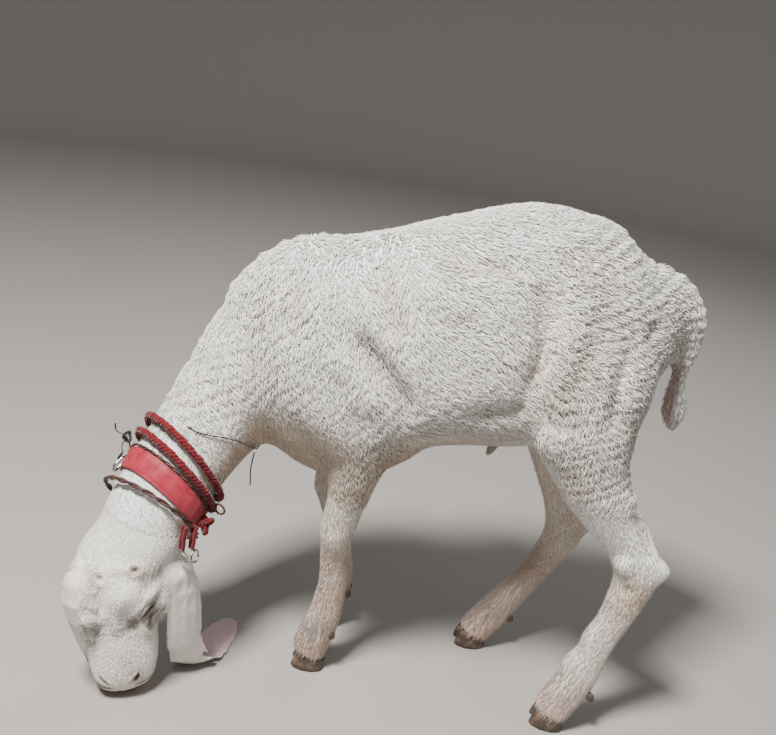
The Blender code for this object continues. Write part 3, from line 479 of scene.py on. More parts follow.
def shape_face(points):
    """Nostrils, mouth, horn buds, and the skin folds over the nose and brows, as moves along the normals."""
    share, face, left = head_coordinates(points).T
    down = share * HEAD_LENGTH
    on_face = ramp(face, -0.02, 0.012) * ramp(1.06 - share, 0, 0.06) * ramp(share, -0.12, 0.02)
    wander = 0.0028 * noise(points, 0.022, 5)
    # a domed forehead between two grooves, and brows that stand over the eyes
    move = 0.0085 * on_face * bell(left - 0.002, 0.018, share - 0.255, 0.080)
    for side in SIDES:
        out = side * left
        groove = left - side * (0.0255 + 0.10 * (down - 0.055)) + 1.6 * wander
        move -= (0.0050 if side < 0 else 0.0014) * on_face * ridge(groove, 0.0052, down - 0.064, 0.032)
        brow = down - 0.066 + 0.55 * (out - 0.034)
        move += 0.0042 * on_face * ridge(brow, 0.0085, out - 0.040, 0.013)
        # hollow before the eye, the swell over the eyeball, and the cheek bone under it
        move -= 0.0007 * on_face * bell(np.hypot(down - 0.104, out - 0.022), 0.0105)
        swell = np.hypot(down - 0.0876, out - (0.0303 if side > 0 else 0.0364))
        move += 0.0034 * on_face * bell(swell, 0.0165)
        bone = down - 0.121 - 0.5 * (out - 0.034)
        move += 0.0022 * on_face * ridge(bone, 0.0070, out - 0.036, 0.014)
    # the crest between the horn buds
    move += 0.0030 * on_face * ridge(down - 0.020 - 0.10 * left, 0.0080, left, 0.034)
    # the bridge of the nose, high and rounded below the folds
    move += 0.0020 * on_face * bell(left, 0.016, share - 0.63, 0.10)
    # folds across the bridge and at the sides, wavy and of uneven depth
    folds = np.sin((down + 1.6 * wander + 0.16 * np.abs(left)) / 0.0062 * math.tau)
    deep = half_noise(points, 0.012, 6)
    move += 0.00022 * folds * deep * bell(share - 0.455, 0.07) * on_face
    slant = np.sin((left + 0.35 * down + 1.5 * wander) / 0.0065 * math.tau)
    temples = ramp(np.abs(left), 0.020, 0.032) * bell(share - 0.28, 0.17)
    move += 0.0007 * slant * deep * temples * on_face
    whorl = np.sin((down - 0.8 * np.abs(left) + wander) / 0.0080 * math.tau)
    cheeks = ramp(np.abs(left), 0.016, 0.026)
    move += 0.0005 * whorl * deep * cheeks * bell(share - 0.68, 0.12) * on_face
    # nostrils: a comma each, deeper at its inner end, with a raised wing
    for side in SIDES:
        a, b = from_nostril(share, left, side)
        along_slit = 0.80 * a - 0.60 * b
        across = 0.60 * a + 0.80 * b + 26 * along_slit ** 2
        wing = sum(bell(across + k * 0.0044, 0.0026, along_slit, 0.0085) for k in SIDES)
        move += on_face * (0.0016 * wing - 0.0050 * ridge(across, 0.0015, along_slit, 0.0066))
    # the groove from between the nostrils to the lip
    move -= 0.0011 * on_face * ridge(left - MUZZLE_MIDDLE, 0.0016, share - 0.93, 0.06)
    mouth = mouth_line(share, face, left, 0.010)
    move -= 0.0017 * mouth * ramp(face, -0.03, -0.005) * ramp(0.04 - face, 0, 0.012)
    # horn buds: a whorl with a dip in it, on a low swelling
    for bud in BUDS:
        a, b = from_bud(share, left, bud)
        d = np.hypot(a, b)
        swirl = np.sin(np.arctan2(b, a) * 2 + d / 0.0042 * math.tau)
        move += on_face * (0.0018 * bell(d - 0.0085, 0.0045) - 0.0026 * bell(d, 0.0045))
        move += on_face * 0.0005 * swirl * bell(d - 0.008, 0.006)
    return move


# Muscles and hollows under the coat, on both sides alike: how wide, how high, and a line along each
FORMS = (
    # back of the upper arm
    (0.022, 0.008, (
        (-0.075, -0.110, 0.511), (-0.052, -0.109, 0.494), (-0.027, -0.111, 0.469), (-0.001, -0.113, 0.445))),
    # behind it, down to the elbow
    (0.0165, -0.0092, (
        (-0.051, -0.110, 0.533), (-0.034, -0.110, 0.518), (-0.015, -0.110, 0.495), (0.007, -0.114, 0.474),
        (0.025, -0.114, 0.455), (0.031, -0.108, 0.430))),
    # between shoulder blade and ribs
    (0.019, -0.008, (
        (-0.032, -0.067, 0.620), (-0.018, -0.095, 0.595), (-0.005, -0.111, 0.566), (0.005, -0.117, 0.536))),
    # before the shoulder blade
    (0.018, -0.005, ((-0.127, -0.055, 0.601), (-0.131, -0.086, 0.561), (-0.125, -0.104, 0.516))),
    # the last ribs
    (0.022, 0.007, (
        (0.016, -0.079, 0.631), (0.039, -0.097, 0.620), (0.061, -0.110, 0.605), (0.083, -0.120, 0.584))),
    # hollow under the loin
    (0.0145, -0.01, (
        (0.031, -0.076, 0.640), (0.058, -0.084, 0.642), (0.088, -0.091, 0.644), (0.117, -0.094, 0.645),
        (0.147, -0.096, 0.642))),
    # before the haunch
    (0.015, -0.0095, (
        (0.158, -0.096, 0.638), (0.174, -0.099, 0.615), (0.181, -0.104, 0.593), (0.180, -0.113, 0.564),
        (0.177, -0.117, 0.533), (0.179, -0.114, 0.492))),
    # point of the hip
    (0.018, 0.006, ((0.161, -0.074, 0.674), (0.196, -0.061, 0.685), (0.233, -0.058, 0.682))),
    # front of the thigh
    (0.021, 0.006, (
        (0.205, -0.097, 0.620), (0.211, -0.107, 0.573), (0.213, -0.111, 0.523), (0.217, -0.115, 0.473))),
    # between the thigh's muscles
    (0.0125, -0.0065, (
        (0.284, -0.097, 0.576), (0.277, -0.115, 0.543), (0.278, -0.122, 0.499), (0.283, -0.121, 0.460))),
    # dimple in the buttock
    (0.014, -0.0052, ((0.304, -0.084, 0.594), (0.317, -0.078, 0.587))),
    # fold of the flank
    (0.0140, -0.0045, ((0.109, -0.114, 0.456), (0.144, -0.114, 0.466), (0.173, -0.112, 0.480))),
    # stifle
    (0.016, 0.005, ((0.198, -0.104, 0.450), (0.213, -0.116, 0.445), (0.229, -0.124, 0.441))),
)


FORM_STRENGTH = 1.6
PULL_STRENGTH = 1.35


def line_distance(points, line):
    """How far each point is from a line through several places, and how far along the line that is."""
    line = np.array(line)
    best = np.full(len(points), np.inf)
    share = np.zeros(len(points))
    for i, (a, b) in enumerate(zip(line, line[1:])):
        t = np.clip((points - a) @ (b - a) / ((b - a) @ (b - a)), 0, 1)
        away = np.linalg.norm(points - a - t[:, None] * (b - a), axis=1)
        share = np.where(away < best, (i + t) / (len(line) - 1), share)
        best = np.minimum(best, away)
    return best, share


def shape_body(points):
    """The muscles' and bones' forms, as moves along the normals."""
    r = points - MIDLINE
    r[:, 1] = -np.abs(r[:, 1])
    r = r + 0.008 * noise(points, 0.05, 31)[:, None]
    move = np.zeros(len(points))
    for width, height, line in FORMS:
        away, share = line_distance(r, line)
        move += FORM_STRENGTH * height * bell(away, width) * (1 - 0.75 * (2 * share - 1) ** 4)
    return move


# Places on the legs that are drawn out or pressed in: where, how far round it, and by how much
PULLS = (
    ((0.403, -0.0846, 0.266), 0.026, (0.0105, 0.0, 0.0015)),  # left hind: point of the hock
    ((0.346, -0.0984, 0.273), 0.022, (-0.002, -0.0055, 0.0)),  # front of the hock
    ((0.362, -0.1026, 0.240), 0.013, (0.0, 0.0035, 0.0)),  # hollow under it
    ((0.334, -0.0896, 0.150), 0.030, (-0.0040, 0.0, 0.0)),  # front of the cannon
    ((0.302, -0.0916, 0.112), 0.030, (-0.0075, 0.0, -0.001)),  # fetlock
    ((0.335, 0.0759, 0.232), 0.024, (0.0070, 0.0, 0.0)),  # right hind: point of the hock
    ((-0.032, -0.0823, 0.2275), 0.028, (-0.001, -0.0030, 0.0)),  # left knee
    ((-0.052, -0.0657, 0.088), 0.024, (-0.0030, -0.0020, 0.0)),  # left fore fetlock
    ((-0.079, 0.0640, 0.230), 0.026, (-0.0030, 0.0, 0.0)),  # right knee
)

# The hollow before the hock's tendon, on the left hind leg
TENDON = ((0.330, -0.104, 0.372), (0.349, -0.102, 0.344), (0.368, -0.097, 0.317), (0.387, -0.092, 0.286))


def shape_legs(points):
    """The joints' knuckles and hollows, as moves."""
    move = np.zeros_like(points)
    for place, reach, way in PULLS:
        move += PULL_STRENGTH * bump_at(points, body_place(*place), reach)[:, None] * np.array(way)
    away, share = line_distance(points - MIDLINE, TENDON)
    move[:, 1] += 0.0120 * bell(away, 0.0100) * (1 - (2 * share - 1) ** 4) * ramp(share, 0.0, 0.4)
    return move


def share_of(nearest, *words):
    """1 at the points whose part has one of the words in its name, 0 elsewhere."""
    return np.array([any(word in part for word in words) for part in PARTS])[nearest].astype(float)


def rough_skin():
    """The flesh in one even mesh with thin ears, inside the CAD's flesh by the coat's depth."""
    ears = ["ear_left", "ear_right"]
    points, faces = welded([n for n in FLESH if n not in ears] + list(EYES), 0.0004)
    more, more_faces = welded(ears, 0.0014)
    faces += [[len(points) + v for v in face] for face in more_faces]
    skin = remeshed("skin", (points + more, faces), SKIN_VOXEL)
    mesh = skin.data
    points = coordinates(mesh)
    nearest = nearest_nodes(points)
    ring = Neighbours(mesh)
    is_ear = np.isin(nearest, EARS)
    is_head = nearest == HEAD
    is_leg = share_of(nearest, "leg_lower") > 0
    share = np.where(is_ear, 0.30, np.where(is_head, 0.45, np.where(is_leg, 0.5, 0.8)))
    share = ring.smooth(share, 6)[:, None]
    rounds = np.where(is_head | is_leg, 12, np.where(is_ear, 8, 26))[:, None]
    flat = ((points[:, 2] < 0.004) & ~is_ear)[:, None]
    for i in range(26):
        moved = points + share * (ring.mean(points) - points)
        points = np.where((i < rounds) & ~flat, moved, points)
    hanging = ramp(ring.smooth(is_ear.astype(float), 4), 0.55, 0.95) * ramp(0.182 - points[:, 2], 0.0, 0.022)
    points = brought_onto(points, ears, hanging)
    set_coordinates(mesh, points)

    normals = normals_of(mesh)
    wool = ring.smooth(wool_of(nearest, points, normals), 14)
    depth = HAIR_DEPTH + (WOOL_DEPTH - HAIR_DEPTH) * wool
    depth = np.where(is_ear, 0.0002, depth)
    depth = np.where(nearest == FLESH.index("tail"), 0.0010, depth)
    depth = np.where(points[:, 2] < 0.02, np.minimum(depth, 0.0008), depth)
    set_coordinates(mesh, points - ring.smooth(depth, 4)[:, None] * normals)
    return skin


def make_skin():
    """The skin, and what its points carry."""
    skin = rough_skin()
    subdivide_near(skin, [(head_place(0.45, 0.03, 0.0), 0.062), (head_place(0.80, 0.02, 0.0), 0.052),
                          (head_place(0.12, 0.035, 0.0), 0.045)])
    subdivide_near(skin, [(eye.middle + 0.5 * eye.radius * eye.out, 0.026) for eye in EYES.values()])
    subdivide_near(skin, [(head_place(NOSTRIL[0], 0.03, MUZZLE_MIDDLE + side * NOSTRIL[1]), 0.018)
                          for side in SIDES])
    mesh = skin.data
    points = coordinates(mesh)
    ring = Neighbours(mesh)
    nearest = nearest_nodes(points)
    is_head = nearest == HEAD
    points = np.where(is_head[:, None], ring.smooth(points, 2), points)
    set_coordinates(mesh, points)
    normals = normals_of(mesh)
    wool = ring.smooth(wool_of(nearest, points, normals), 14)
    lie = ring.smooth(unit(lie_of(nearest, points)), 40)

    on_leg = ring.smooth(share_of(nearest, "leg"), 6)[:, None]
    on_body = ring.smooth(share_of(nearest, "trunk", "neck", "leg_upper"), 8)
    points = points + on_leg * shape_legs(points) + (on_body * shape_body(points))[:, None] * normals
    points = points + (shape_face(points) * is_head)[:, None] * normals
    shut = EYES["eye_right"]
    near_shut = bump_at(points, shut.middle + shut.radius * shut.out, 0.020)[:, None]
    points = points + near_shut * (ring.smooth(points, 14) - points)
    lid = np.ones(len(points))
    for eye in EYES.values():
        points, near_lid = shape_lids(points, eye, is_head)
        lid = np.minimum(lid, near_lid)
    wave = 0.0010 * noise(points, 0.030, 2) + 0.0008 * noise(points, 0.012, 3)
    points = points + (wave * wool * (1 - is_head))[:, None] * normals
    points[:, 2] = np.maximum(points[:, 2], 0.0006)
    set_coordinates(mesh, points)

    normals = normals_of(mesh)
    lie = unit(lie - (lie * normals).sum(axis=1)[:, None] * normals)
    labels = {name: share_of(nearest, name) > 0
              for name in ("head", "ear", "leg_lower", "leg_upper", "tail", "neck", "trunk", "sheath")}
    return skin, {"points": points, "normals": normals, "wool": wool, "lie": lie, "labels": labels,
                  "lid": lid, "ring": ring, "nearest": nearest}


# ---------------------------------------------------------------- markings and painted shade

WHITE = np.array((0.90, 0.885, 0.855))
CREAM = np.array((0.86, 0.80, 0.70))
# tan: dust, and painted shade in hollows, creases, underparts and on the inner faces of the hind legs
DUST_AND_SHADE = np.array((0.42, 0.28, 0.18))
PINK = np.array((0.66, 0.42, 0.36))
BROWN = np.array((0.20, 0.11, 0.075))
BAND = np.array((0.115, 0.092, 0.074))
DARK = np.array((0.055, 0.035, 0.030))
STAIN = np.array((0.40, 0.22, 0.075))
# pink of the inner ear, deepened as painted shade where it faces the cheek
EAR_INSIDE_AND_SHADE = np.array((0.60, 0.30, 0.26))
# lavender pink of a painted shadow, on the ear's tip that lies on the floor
EAR_LYING_SHADOW = np.array((0.62, 0.42, 0.45))
HOCK = body_place(0.367, -0.102, 0.233)


def markings_and_shade(points, normals, labels, lid, hollow):
    """The colour at each point, which the skin and its tufts share: markings, and painted shade in hollows,
    creases, underparts and inner faces.
    """

    def blend(colour, amount):
        nonlocal tint
        amount = np.clip(amount, 0, 1)[:, None]
        tint = tint * (1 - amount) + colour * amount

    x, y, z = points.T
    tint = np.tile(WHITE, (len(points), 1))
    soft = half_noise(points, 0.06, 11)
    fine = half_noise(points, 0.018, 12)
    blend(CREAM, 0.45 * soft ** 2 * fine)
    body = labels["trunk"] | labels["neck"]
    # painted shade: tan in the skin's hollows
    blend(DUST_AND_SHADE * 1.2, 0.34 * ramp(hollow, 0.00012, 0.0010))
    # painted shade: tan in the creases between the body's muscles
    blend(DUST_AND_SHADE * 1.3, 0.26 * ramp(-shape_body(points), 0.002, 0.012) * body * (0.4 + 0.6 * soft))
    haunch = labels["trunk"] * ramp(x, 0.10, 0.20) * ramp(0.68 - z, 0.0, 0.06)
    blend(DUST_AND_SHADE * 1.6, 0.34 * haunch * ramp(soft, 0.35, 0.75) * (0.5 + 0.5 * fine))
    # painted shade, with dust: the throat, brisket and belly tan where they face downward
    throat = ramp(normals[:, 0] - 0.6 * normals[:, 2], 0.2, 0.9)
    belly = labels["trunk"] * (1 - ramp(x, 0.12, 0.17)) * ramp(0.30 - normals[:, 2], 0.0, 0.6)
    low = ramp(0.47 - z, 0.0, 0.11) * np.where(labels["neck"], throat, belly)
    blend(DUST_AND_SHADE, low * (0.52 + 0.38 * soft))
    fore = x < 0.1
    knee = 0.25 * ramp(0.43 - z, 0.0, 0.10) + 0.35 * ramp(0.33 - z, 0.0, 0.10)
    blend(DUST_AND_SHADE, labels["leg_upper"] * fore * knee * (0.7 + 0.4 * fine))
    # painted shade, with the pinkish tan of the skin: the hind legs darker on their inner faces
    inner = ramp(-normals[:, 1] * np.sign(y), -0.2, 0.4) * ramp(0.42 - z, 0.0, 0.09)
    blend(DUST_AND_SHADE * 1.15, 0.55 * labels["leg_upper"] * ~fore * inner * (0.7 + 0.3 * fine))
    # the lower legs tan all round, and on the hind legs more on their inner faces, as painted shade
    legs = labels["leg_lower"]
    blend(DUST_AND_SHADE, legs * np.where(fore, 1.0, 0.45 + 0.55 * inner) * (0.46 + 0.32 * fine))
    blend(PINK * 0.92, 0.25 * legs * soft)
    blend(PINK, 0.45 * legs * ramp(0.075 - z, 0.0, 0.03))
    blend(STAIN, 0.85 * bump_at(points, HOCK, 0.055) * (0.6 + 0.4 * fine))
    tail = labels["tail"] & (normals[:, 0] < -0.2)
    blend(PINK * 0.8, 0.6 * tail * ramp(z, 0.43, 0.47))
    blend(BROWN, 0.75 * labels["sheath"])
    share, face, left = head_coordinates(points).T
    head = labels["head"]
    front = head * ramp(face, 0.0, 0.02)
    blend(CREAM * 0.90, 0.45 * head * (0.4 + 0.6 * fine))
    strokes = half_noise(points @ np.array([HEAD_DOWN, HEAD_FACE, 0.35 * HEAD_LEFT]).T, 0.0035, 15)
    band = np.exp(-((share - 0.450 - 0.5 * np.abs(left) - 0.03 * noise(points, 0.02, 16)) / 0.072) ** 4)
    blend(BAND, 0.80 * front * band * (0.12 + 0.88 * ramp(strokes, 0.30, 0.75)))
    # painted shade: the head's hollows darker
    blend(BAND * 1.6, 0.30 * head * ramp(hollow, 0.00020, 0.0010))
    patch = np.exp(-((share - 0.445) / 0.040) ** 4 - ((left - 0.0125) / 0.0078) ** 4)
    blend(BROWN * 0.42, 0.94 * front * patch * (0.7 + 0.3 * strokes))
    smudge = head * (0.3 + 0.7 * strokes) * (0.3 + 0.7 * (left > 0))
    for eye in EYES.values():
        d = np.linalg.norm(points - eye.middle, axis=1) - eye.radius
        blend(BAND * 0.8, 0.70 * (1 - ramp(d, 0.002, 0.014)) * smudge)
    temples = bell(share - 0.22, 0.10) * ramp(np.abs(left), 0.020, 0.030)
    blend(BAND * 1.2, 0.62 * front * temples * ramp(strokes, 0.25, 0.70) * (0.45 + 0.55 * (left < 0)))
    for bud in BUDS:
        d = np.hypot(*from_bud(share, left, bud))
        clear = 1.0 if bud[1] > 0 else 0.35
        blend(PINK * 0.72, 0.75 * clear * front * bell(d, 0.0080))
        blend(BROWN, 0.6 * clear * front * bell(d, 0.0035))
    blend(PINK, 0.5 * head * ramp(share, 0.86, 0.95))
    for side in SIDES:
        d = np.hypot(*from_nostril(share, left, side))
        clear = 1.0 if side > 0 else 0.45
        blend(PINK * 0.7, 0.5 * clear * front * bell(d, 0.012))
        blend(DARK, 0.92 * clear * front * np.exp(-(d / 0.0062) ** 4))
    blend(BROWN * 0.6, 0.8 * head * mouth_line(share, face, left, 0.014) * ramp(face, -0.03, -0.005))
    seen = (lid < 0.5) * (0.22 + 0.78 * (left > 0))
    blend(BAND * 0.6, 0.80 * (1 - ramp(lid, 0.0012, 0.0075)) * seen)
    blend(DARK, 0.95 * (1 - ramp(lid, -0.0004, 0.0024)) * seen)
    ear = labels["ear"]
    blend(PINK, ear * 0.18)
    # the inner ear is pink, and darker where it faces the cheek: its own colour with painted shade
    inside = ramp(-(normals @ HEAD_LEFT) * np.sign(left) - 0.15 * (normals @ HEAD_FACE), 0.25, 0.75)
    blend(EAR_INSIDE_AND_SHADE, 0.75 * ear * inside * ramp(z, 0.012, 0.03))
    # painted shadow: the ear's tip where it lies on the floor, greyed to a lavender pink
    blend(EAR_LYING_SHADOW, 0.80 * ear * ramp(0.030 - z, 0.0, 0.02) * ramp(normals[:, 2], 0.0, 0.6))
    return tint


# ---------------------------------------------------------------- materials


class Shader:
    """A material's node tree, written briefly."""

    def __init__(self, name):
        self.material = bpy.data.materials.new(name)
        self.material.use_nodes = True
        self.tree = self.material.node_tree
        self.tree.nodes.clear()
        out = self.add("ShaderNodeOutputMaterial")
        self.surface = self.add("ShaderNodeBsdfPrincipled")
        self.link(self.surface.outputs[0], out.inputs["Surface"])

    def add(self, kind, **values):
        node = self.tree.nodes.new(kind)
        for key, value in values.items():
            setattr(node, key, value)
        return node

    def link(self, start, end):
        self.tree.links.new(start, end)

    def set(self, **values):
        for key, value in values.items():
            self.surface.inputs[key.replace("_", " ")].default_value = value

    def attribute(self, name, output="Color"):
        return self.add("ShaderNodeAttribute", attribute_name=name).outputs[output]

    def place(self):
        return self.add("ShaderNodeTexCoord").outputs["Object"]

    def grey(self, value):
        node = self.add("ShaderNodeCombineColor")
        for i in range(3):
            self.link(value, node.inputs[i])
        return node.outputs[0]

    def noise(self, vector, scale, detail=3.0, roughness=0.5):
        node = self.add("ShaderNodeTexNoise")
        node.inputs["Scale"].default_value = scale
        node.inputs["Detail"].default_value = detail
        node.inputs["Roughness"].default_value = roughness
        self.link(vector, node.inputs["Vector"])
        return node.outputs["Fac"]

    def scaled(self, vector, factors):
        node = self.add("ShaderNodeVectorMath", operation="MULTIPLY")
        self.link(vector, node.inputs[0])
        node.inputs[1].default_value = factors
        return node.outputs[0]

    def range(self, value, low, high, to_low=0.0, to_high=1.0):
        node = self.add("ShaderNodeMapRange")
        for i, number in enumerate((low, high, to_low, to_high)):
            node.inputs[i + 1].default_value = number
        self.link(value, node.inputs[0])
        return node.outputs[0]

    def math(self, operation, a, b=None):
        node = self.add("ShaderNodeMath", operation=operation)
        for i, value in enumerate((a, b)):
            if value is None:
                continue
            if isinstance(value, (int, float)):
                node.inputs[i].default_value = value
            else:
                self.link(value, node.inputs[i])
        return node.outputs[0]

    def mix(self, share, a, b, blend="MIX"):
        node = self.add("ShaderNodeMix", data_type="RGBA", blend_type=blend)
        for socket, value in ((node.inputs[0], share), (node.inputs[6], a), (node.inputs[7], b)):
            if isinstance(value, (int, float)):
                socket.default_value = value
            elif isinstance(value, (tuple, list, np.ndarray)):
                socket.default_value = (*[float(v) for v in value[:3]], 1.0)
            else:
                self.link(value, socket)
        return node.outputs[2]

    def bump(self, height, distance, strength=1.0, under=None):
        node = self.add("ShaderNodeBump")
        node.inputs["Distance"].default_value = distance
        node.inputs["Strength"].default_value = strength
        self.link(height, node.inputs["Height"])
        if under is not None:
            self.link(under, node.inputs["Normal"])
        return node.outputs["Normal"]

    def finish(self, colour=None, roughness=None, normal=None):
        for value, key in ((colour, "Base Color"), (roughness, "Roughness"), (normal, "Normal")):
            if value is not None:
                self.link(value, self.surface.inputs[key])
        return self.material


def skin_material():
    """Hide with short hair: the markings with their painted shade, streaked along the lie of the coat, a
    little darker under wool.
    """
    s = Shader("hide")
    tint = s.attribute("markings_and_shade")
    comb = s.attribute("comb", "Vector")
    streaks = s.noise(comb, 620.0, 3.0, 0.6)
    broad = s.noise(comb, 190.0, 2.0, 0.5)
    shade = s.range(streaks, 0.3, 0.7, 0.88, 1.05)
    wool = s.attribute("wool", "Fac")
    under = s.mix(s.math("MULTIPLY", wool, 0.20), tint, (0.84, 0.79, 0.72))
    colour = s.mix(1.0, under, s.grey(shade), "MULTIPLY")
    normal = s.bump(streaks, 0.0006, 0.55)
    normal = s.bump(broad, 0.0016, 0.6, normal)
    s.set(Roughness=0.72, Sheen_Weight=0.15, Sheen_Roughness=0.5, Specular_IOR_Level=0.35)
    return s.finish(colour, None, normal)


def coat_material(name, rough, sheen):
    """Tufts: the markings at their roots, with painted shade at the root that turns to a little painted light
    at their tips.
    """
    s = Shader(name)
    tint = s.attribute("markings_and_shade")
    along = s.attribute("along", "Fac")
    grain = s.noise(s.place(), 900.0, 2.0, 0.5)
    # painted shade at the root and painted light at the tip, with a fine grain
    root_shade_and_grain = s.range(along, 0.0, 1.0, 0.90, 1.05)
    root_shade_and_grain = s.math("MULTIPLY", root_shade_and_grain, s.range(grain, 0.3, 0.7, 0.95, 1.04))
    colour = s.mix(1.0, tint, s.grey(root_shade_and_grain), "MULTIPLY")
    s.set(Roughness=rough, Sheen_Weight=sheen, Sheen_Roughness=0.5, Specular_IOR_Level=0.3)
    return s.finish(colour)


def fibre_material(name, colour, dark, scale, rough=0.85, distance=0.0007):
    """Rope, knots and thread: fibres along and across, darker where dirt has gathered."""
    s = Shader(name)
    place = s.place()
    fine = s.noise(s.scaled(place, (1.0, 1.0, 0.45)), scale, 4.0, 0.65)
    broad = s.noise(place, 55.0, 3.0)
    tone = s.mix(s.range(fine, 0.35, 0.7), dark, colour)
    tone = s.mix(s.range(broad, 0.45, 0.75, 0.0, 0.5), tone, tuple(0.45 * c for c in colour))
    s.set(Sheen_Weight=0.35, Sheen_Roughness=0.4, Specular_IOR_Level=0.3)
    return s.finish(tone, s.range(fine, 0.0, 1.0, rough - 0.1, rough + 0.1), s.bump(fine, distance, 0.8))


def belt_material():
    """Faded red-pink belt: fine grain, blotches and stains."""
    s = Shader("belt_leather")
    place = s.place()
    grain = s.noise(place, 1500.0, 3.0, 0.6)
    blotch = s.noise(place, 48.0, 4.0, 0.6)
    spots = s.noise(place, 75.0, 2.0, 0.4)
    tone = s.mix(s.range(blotch, 0.35, 0.7), (0.29, 0.012, 0.030), (0.37, 0.036, 0.052))
    tone = s.mix(s.range(spots, 0.61, 0.67, 0.0, 0.85), tone, (0.20, 0.010, 0.016))
    s.set(Coat_Weight=0.12, Coat_Roughness=0.35)
    return s.finish(tone, s.range(blotch, 0.2, 0.8, 0.42, 0.62), s.bump(grain, 0.0003, 0.5))


def leather_material():
    s = Shader("dark_leather")
    place = s.place()
    grain = s.noise(place, 1100.0, 4.0, 0.6)
    worn = s.noise(place, 90.0, 3.0)
    tone = s.mix(s.range(worn, 0.4, 0.75), (0.035, 0.014, 0.012), (0.12, 0.050, 0.036))
    return s.finish(tone, s.range(worn, 0.2, 0.8, 0.45, 0.7), s.bump(grain, 0.0004, 0.6))


def steel_material():
    s = Shader("plated_steel")
    place = s.place()
    scratch = s.noise(s.scaled(place, (1.0, 3.0, 1.0)), 700.0, 3.0)
    dull = s.noise(place, 120.0, 3.0)
    tone = s.mix(s.range(dull, 0.45, 0.70), (0.50, 0.49, 0.47), (0.20, 0.18, 0.16))
    s.set(Metallic=1.0)
    return s.finish(tone, s.range(dull, 0.2, 0.8, 0.22, 0.48), s.bump(scratch, 0.0002, 0.25))


def horn_material():
    """Hoof horn: growth rings, dark brown with a tan wall, darker towards the ground."""
    s = Shader("hoof_horn")
    place = s.place()
    rings = s.noise(s.scaled(place, (25, 25, 420)), 1.0, 3.0, 0.6)
    patch = s.noise(place, 70.0, 3.0, 0.6)
    height = s.add("ShaderNodeSeparateXYZ")
    s.link(place, height.inputs[0])
    tone = s.mix(s.range(patch, 0.46, 0.68), (0.050, 0.035, 0.028), (0.20, 0.135, 0.085))
    tone = s.mix(s.range(rings, 0.4, 0.7, 0.0, 0.35), tone, (0.12, 0.085, 0.06))
    tone = s.mix(s.range(height.outputs[2], 0.012, 0.0, 0.0, 0.55), tone, (0.030, 0.024, 0.021))
    s.set(Coat_Weight=0.10, Coat_Roughness=0.3)
    return s.finish(tone, s.range(rings, 0.2, 0.8, 0.42, 0.68), s.bump(rings, 0.0005, 0.6))


def eye_material(eye, name):
    """Brown iris with a level slot of a pupil, wet and dark."""
    s = Shader(name)
    away = s.add("ShaderNodeVectorMath", operation="SUBTRACT")
    s.link(s.place(), away.inputs[0])
    away.inputs[1].default_value = tuple(float(v) for v in eye.middle)

    def along(axis):
        node = s.add("ShaderNodeVectorMath", operation="DOT_PRODUCT")
        s.link(away.outputs[0], node.inputs[0])
        node.inputs[1].default_value = tuple(float(v) for v in axis)
        return node.outputs["Value"]

    a = s.math("ABSOLUTE", along(eye.along))
    u = s.math("ABSOLUTE", along(eye.up))
    off = s.math("SQRT", s.math("ADD", s.math("MULTIPLY", a, a), s.math("MULTIPLY", u, u)))
    streak = s.noise(away.outputs[0], 900.0, 3.0)
    iris = s.mix(s.range(streak, 0.3, 0.7), (0.045, 0.022, 0.010), (0.13, 0.065, 0.025))
    white = s.mix(s.range(off, 0.0088, 0.0096), iris, (0.34, 0.24, 0.20))
    slot = s.math("MULTIPLY", s.range(a, 0.0046, 0.0038), s.range(u, 0.0019, 0.0014))
    tone = s.mix(slot, white, (0.004, 0.003, 0.003))
    s.set(Roughness=0.12, Coat_Weight=1.0, Coat_Roughness=0.03, Specular_IOR_Level=0.6)
    return s.finish(tone)


# ---------------------------------------------------------------- loops and knots round the neck


def unique_points(node):
    return np.unique(np.round(coordinates(NODES[node].data), 5), axis=0)


def centre_of(node):
    low, high = map(np.array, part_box(node))
    return (low + high) / 2


def loop_axes(points):
    """A loop's middle, and its own axes, the last of them across the loop."""
    centre = points.mean(axis=0)
    _, _, axes = np.linalg.svd(points - centre, full_matrices=False)
    return centre, axes


def loop_path(points, count, reach=0.13):
    """A closed loop's middle line, averaged over the reach in radians, and the loop's normal."""
    centre, axes = loop_axes(points)
    q = points - centre
    angle = np.arctan2(q @ axes[1], q @ axes[0])
    at = np.arange(count) * math.tau / count
    apart = (angle[None, :] - at[:, None] + math.pi) % math.tau - math.pi
    weight = bell(apart, reach)
    return weight @ points / weight.sum(axis=1)[:, None], axes[2]


def path_frames(path, closed, hint):
    """Ways along, out and sideways at each point of a path."""
    if closed:
        along = np.roll(path, -1, axis=0) - np.roll(path, 1, axis=0)
    else:
        along = np.gradient(path, axis=0)
    along = unit(along)
    side = np.tile(unit(hint), (len(path), 1))
    side = unit(side - (side * along).sum(axis=1)[:, None] * along)
    return along, unit(np.cross(along, side)), side


def swept(path, sections, closed):
    """Points and quads of sections, one at each point of the path: sections is (count, sides, 3)."""
    count, sides = sections.shape[:2]
    points = (path[:, None, :] + sections).reshape(-1, 3)
    faces = []
    for i in range(count if closed else count - 1):
        j = (i + 1) % count
        for k in range(sides):
            m = (k + 1) % sides
            faces.append((i * sides + k, i * sides + m, j * sides + m, j * sides + k))
    if not closed:
        faces.append(tuple(reversed(range(sides))))
        faces.append(tuple((count - 1) * sides + k for k in range(sides)))
    return points, faces


def tube(path, radius, closed, hint, sides=10):
    _, out, side = path_frames(path, closed, hint)
    turn = np.arange(sides) * math.tau / sides
    radius = np.broadcast_to(radius, (len(path),))
    ring = np.cos(turn)[None, :, None] * out[:, None, :] + np.sin(turn)[None, :, None] * side[:, None, :]
    return swept(path, ring * radius[:, None, None], closed)


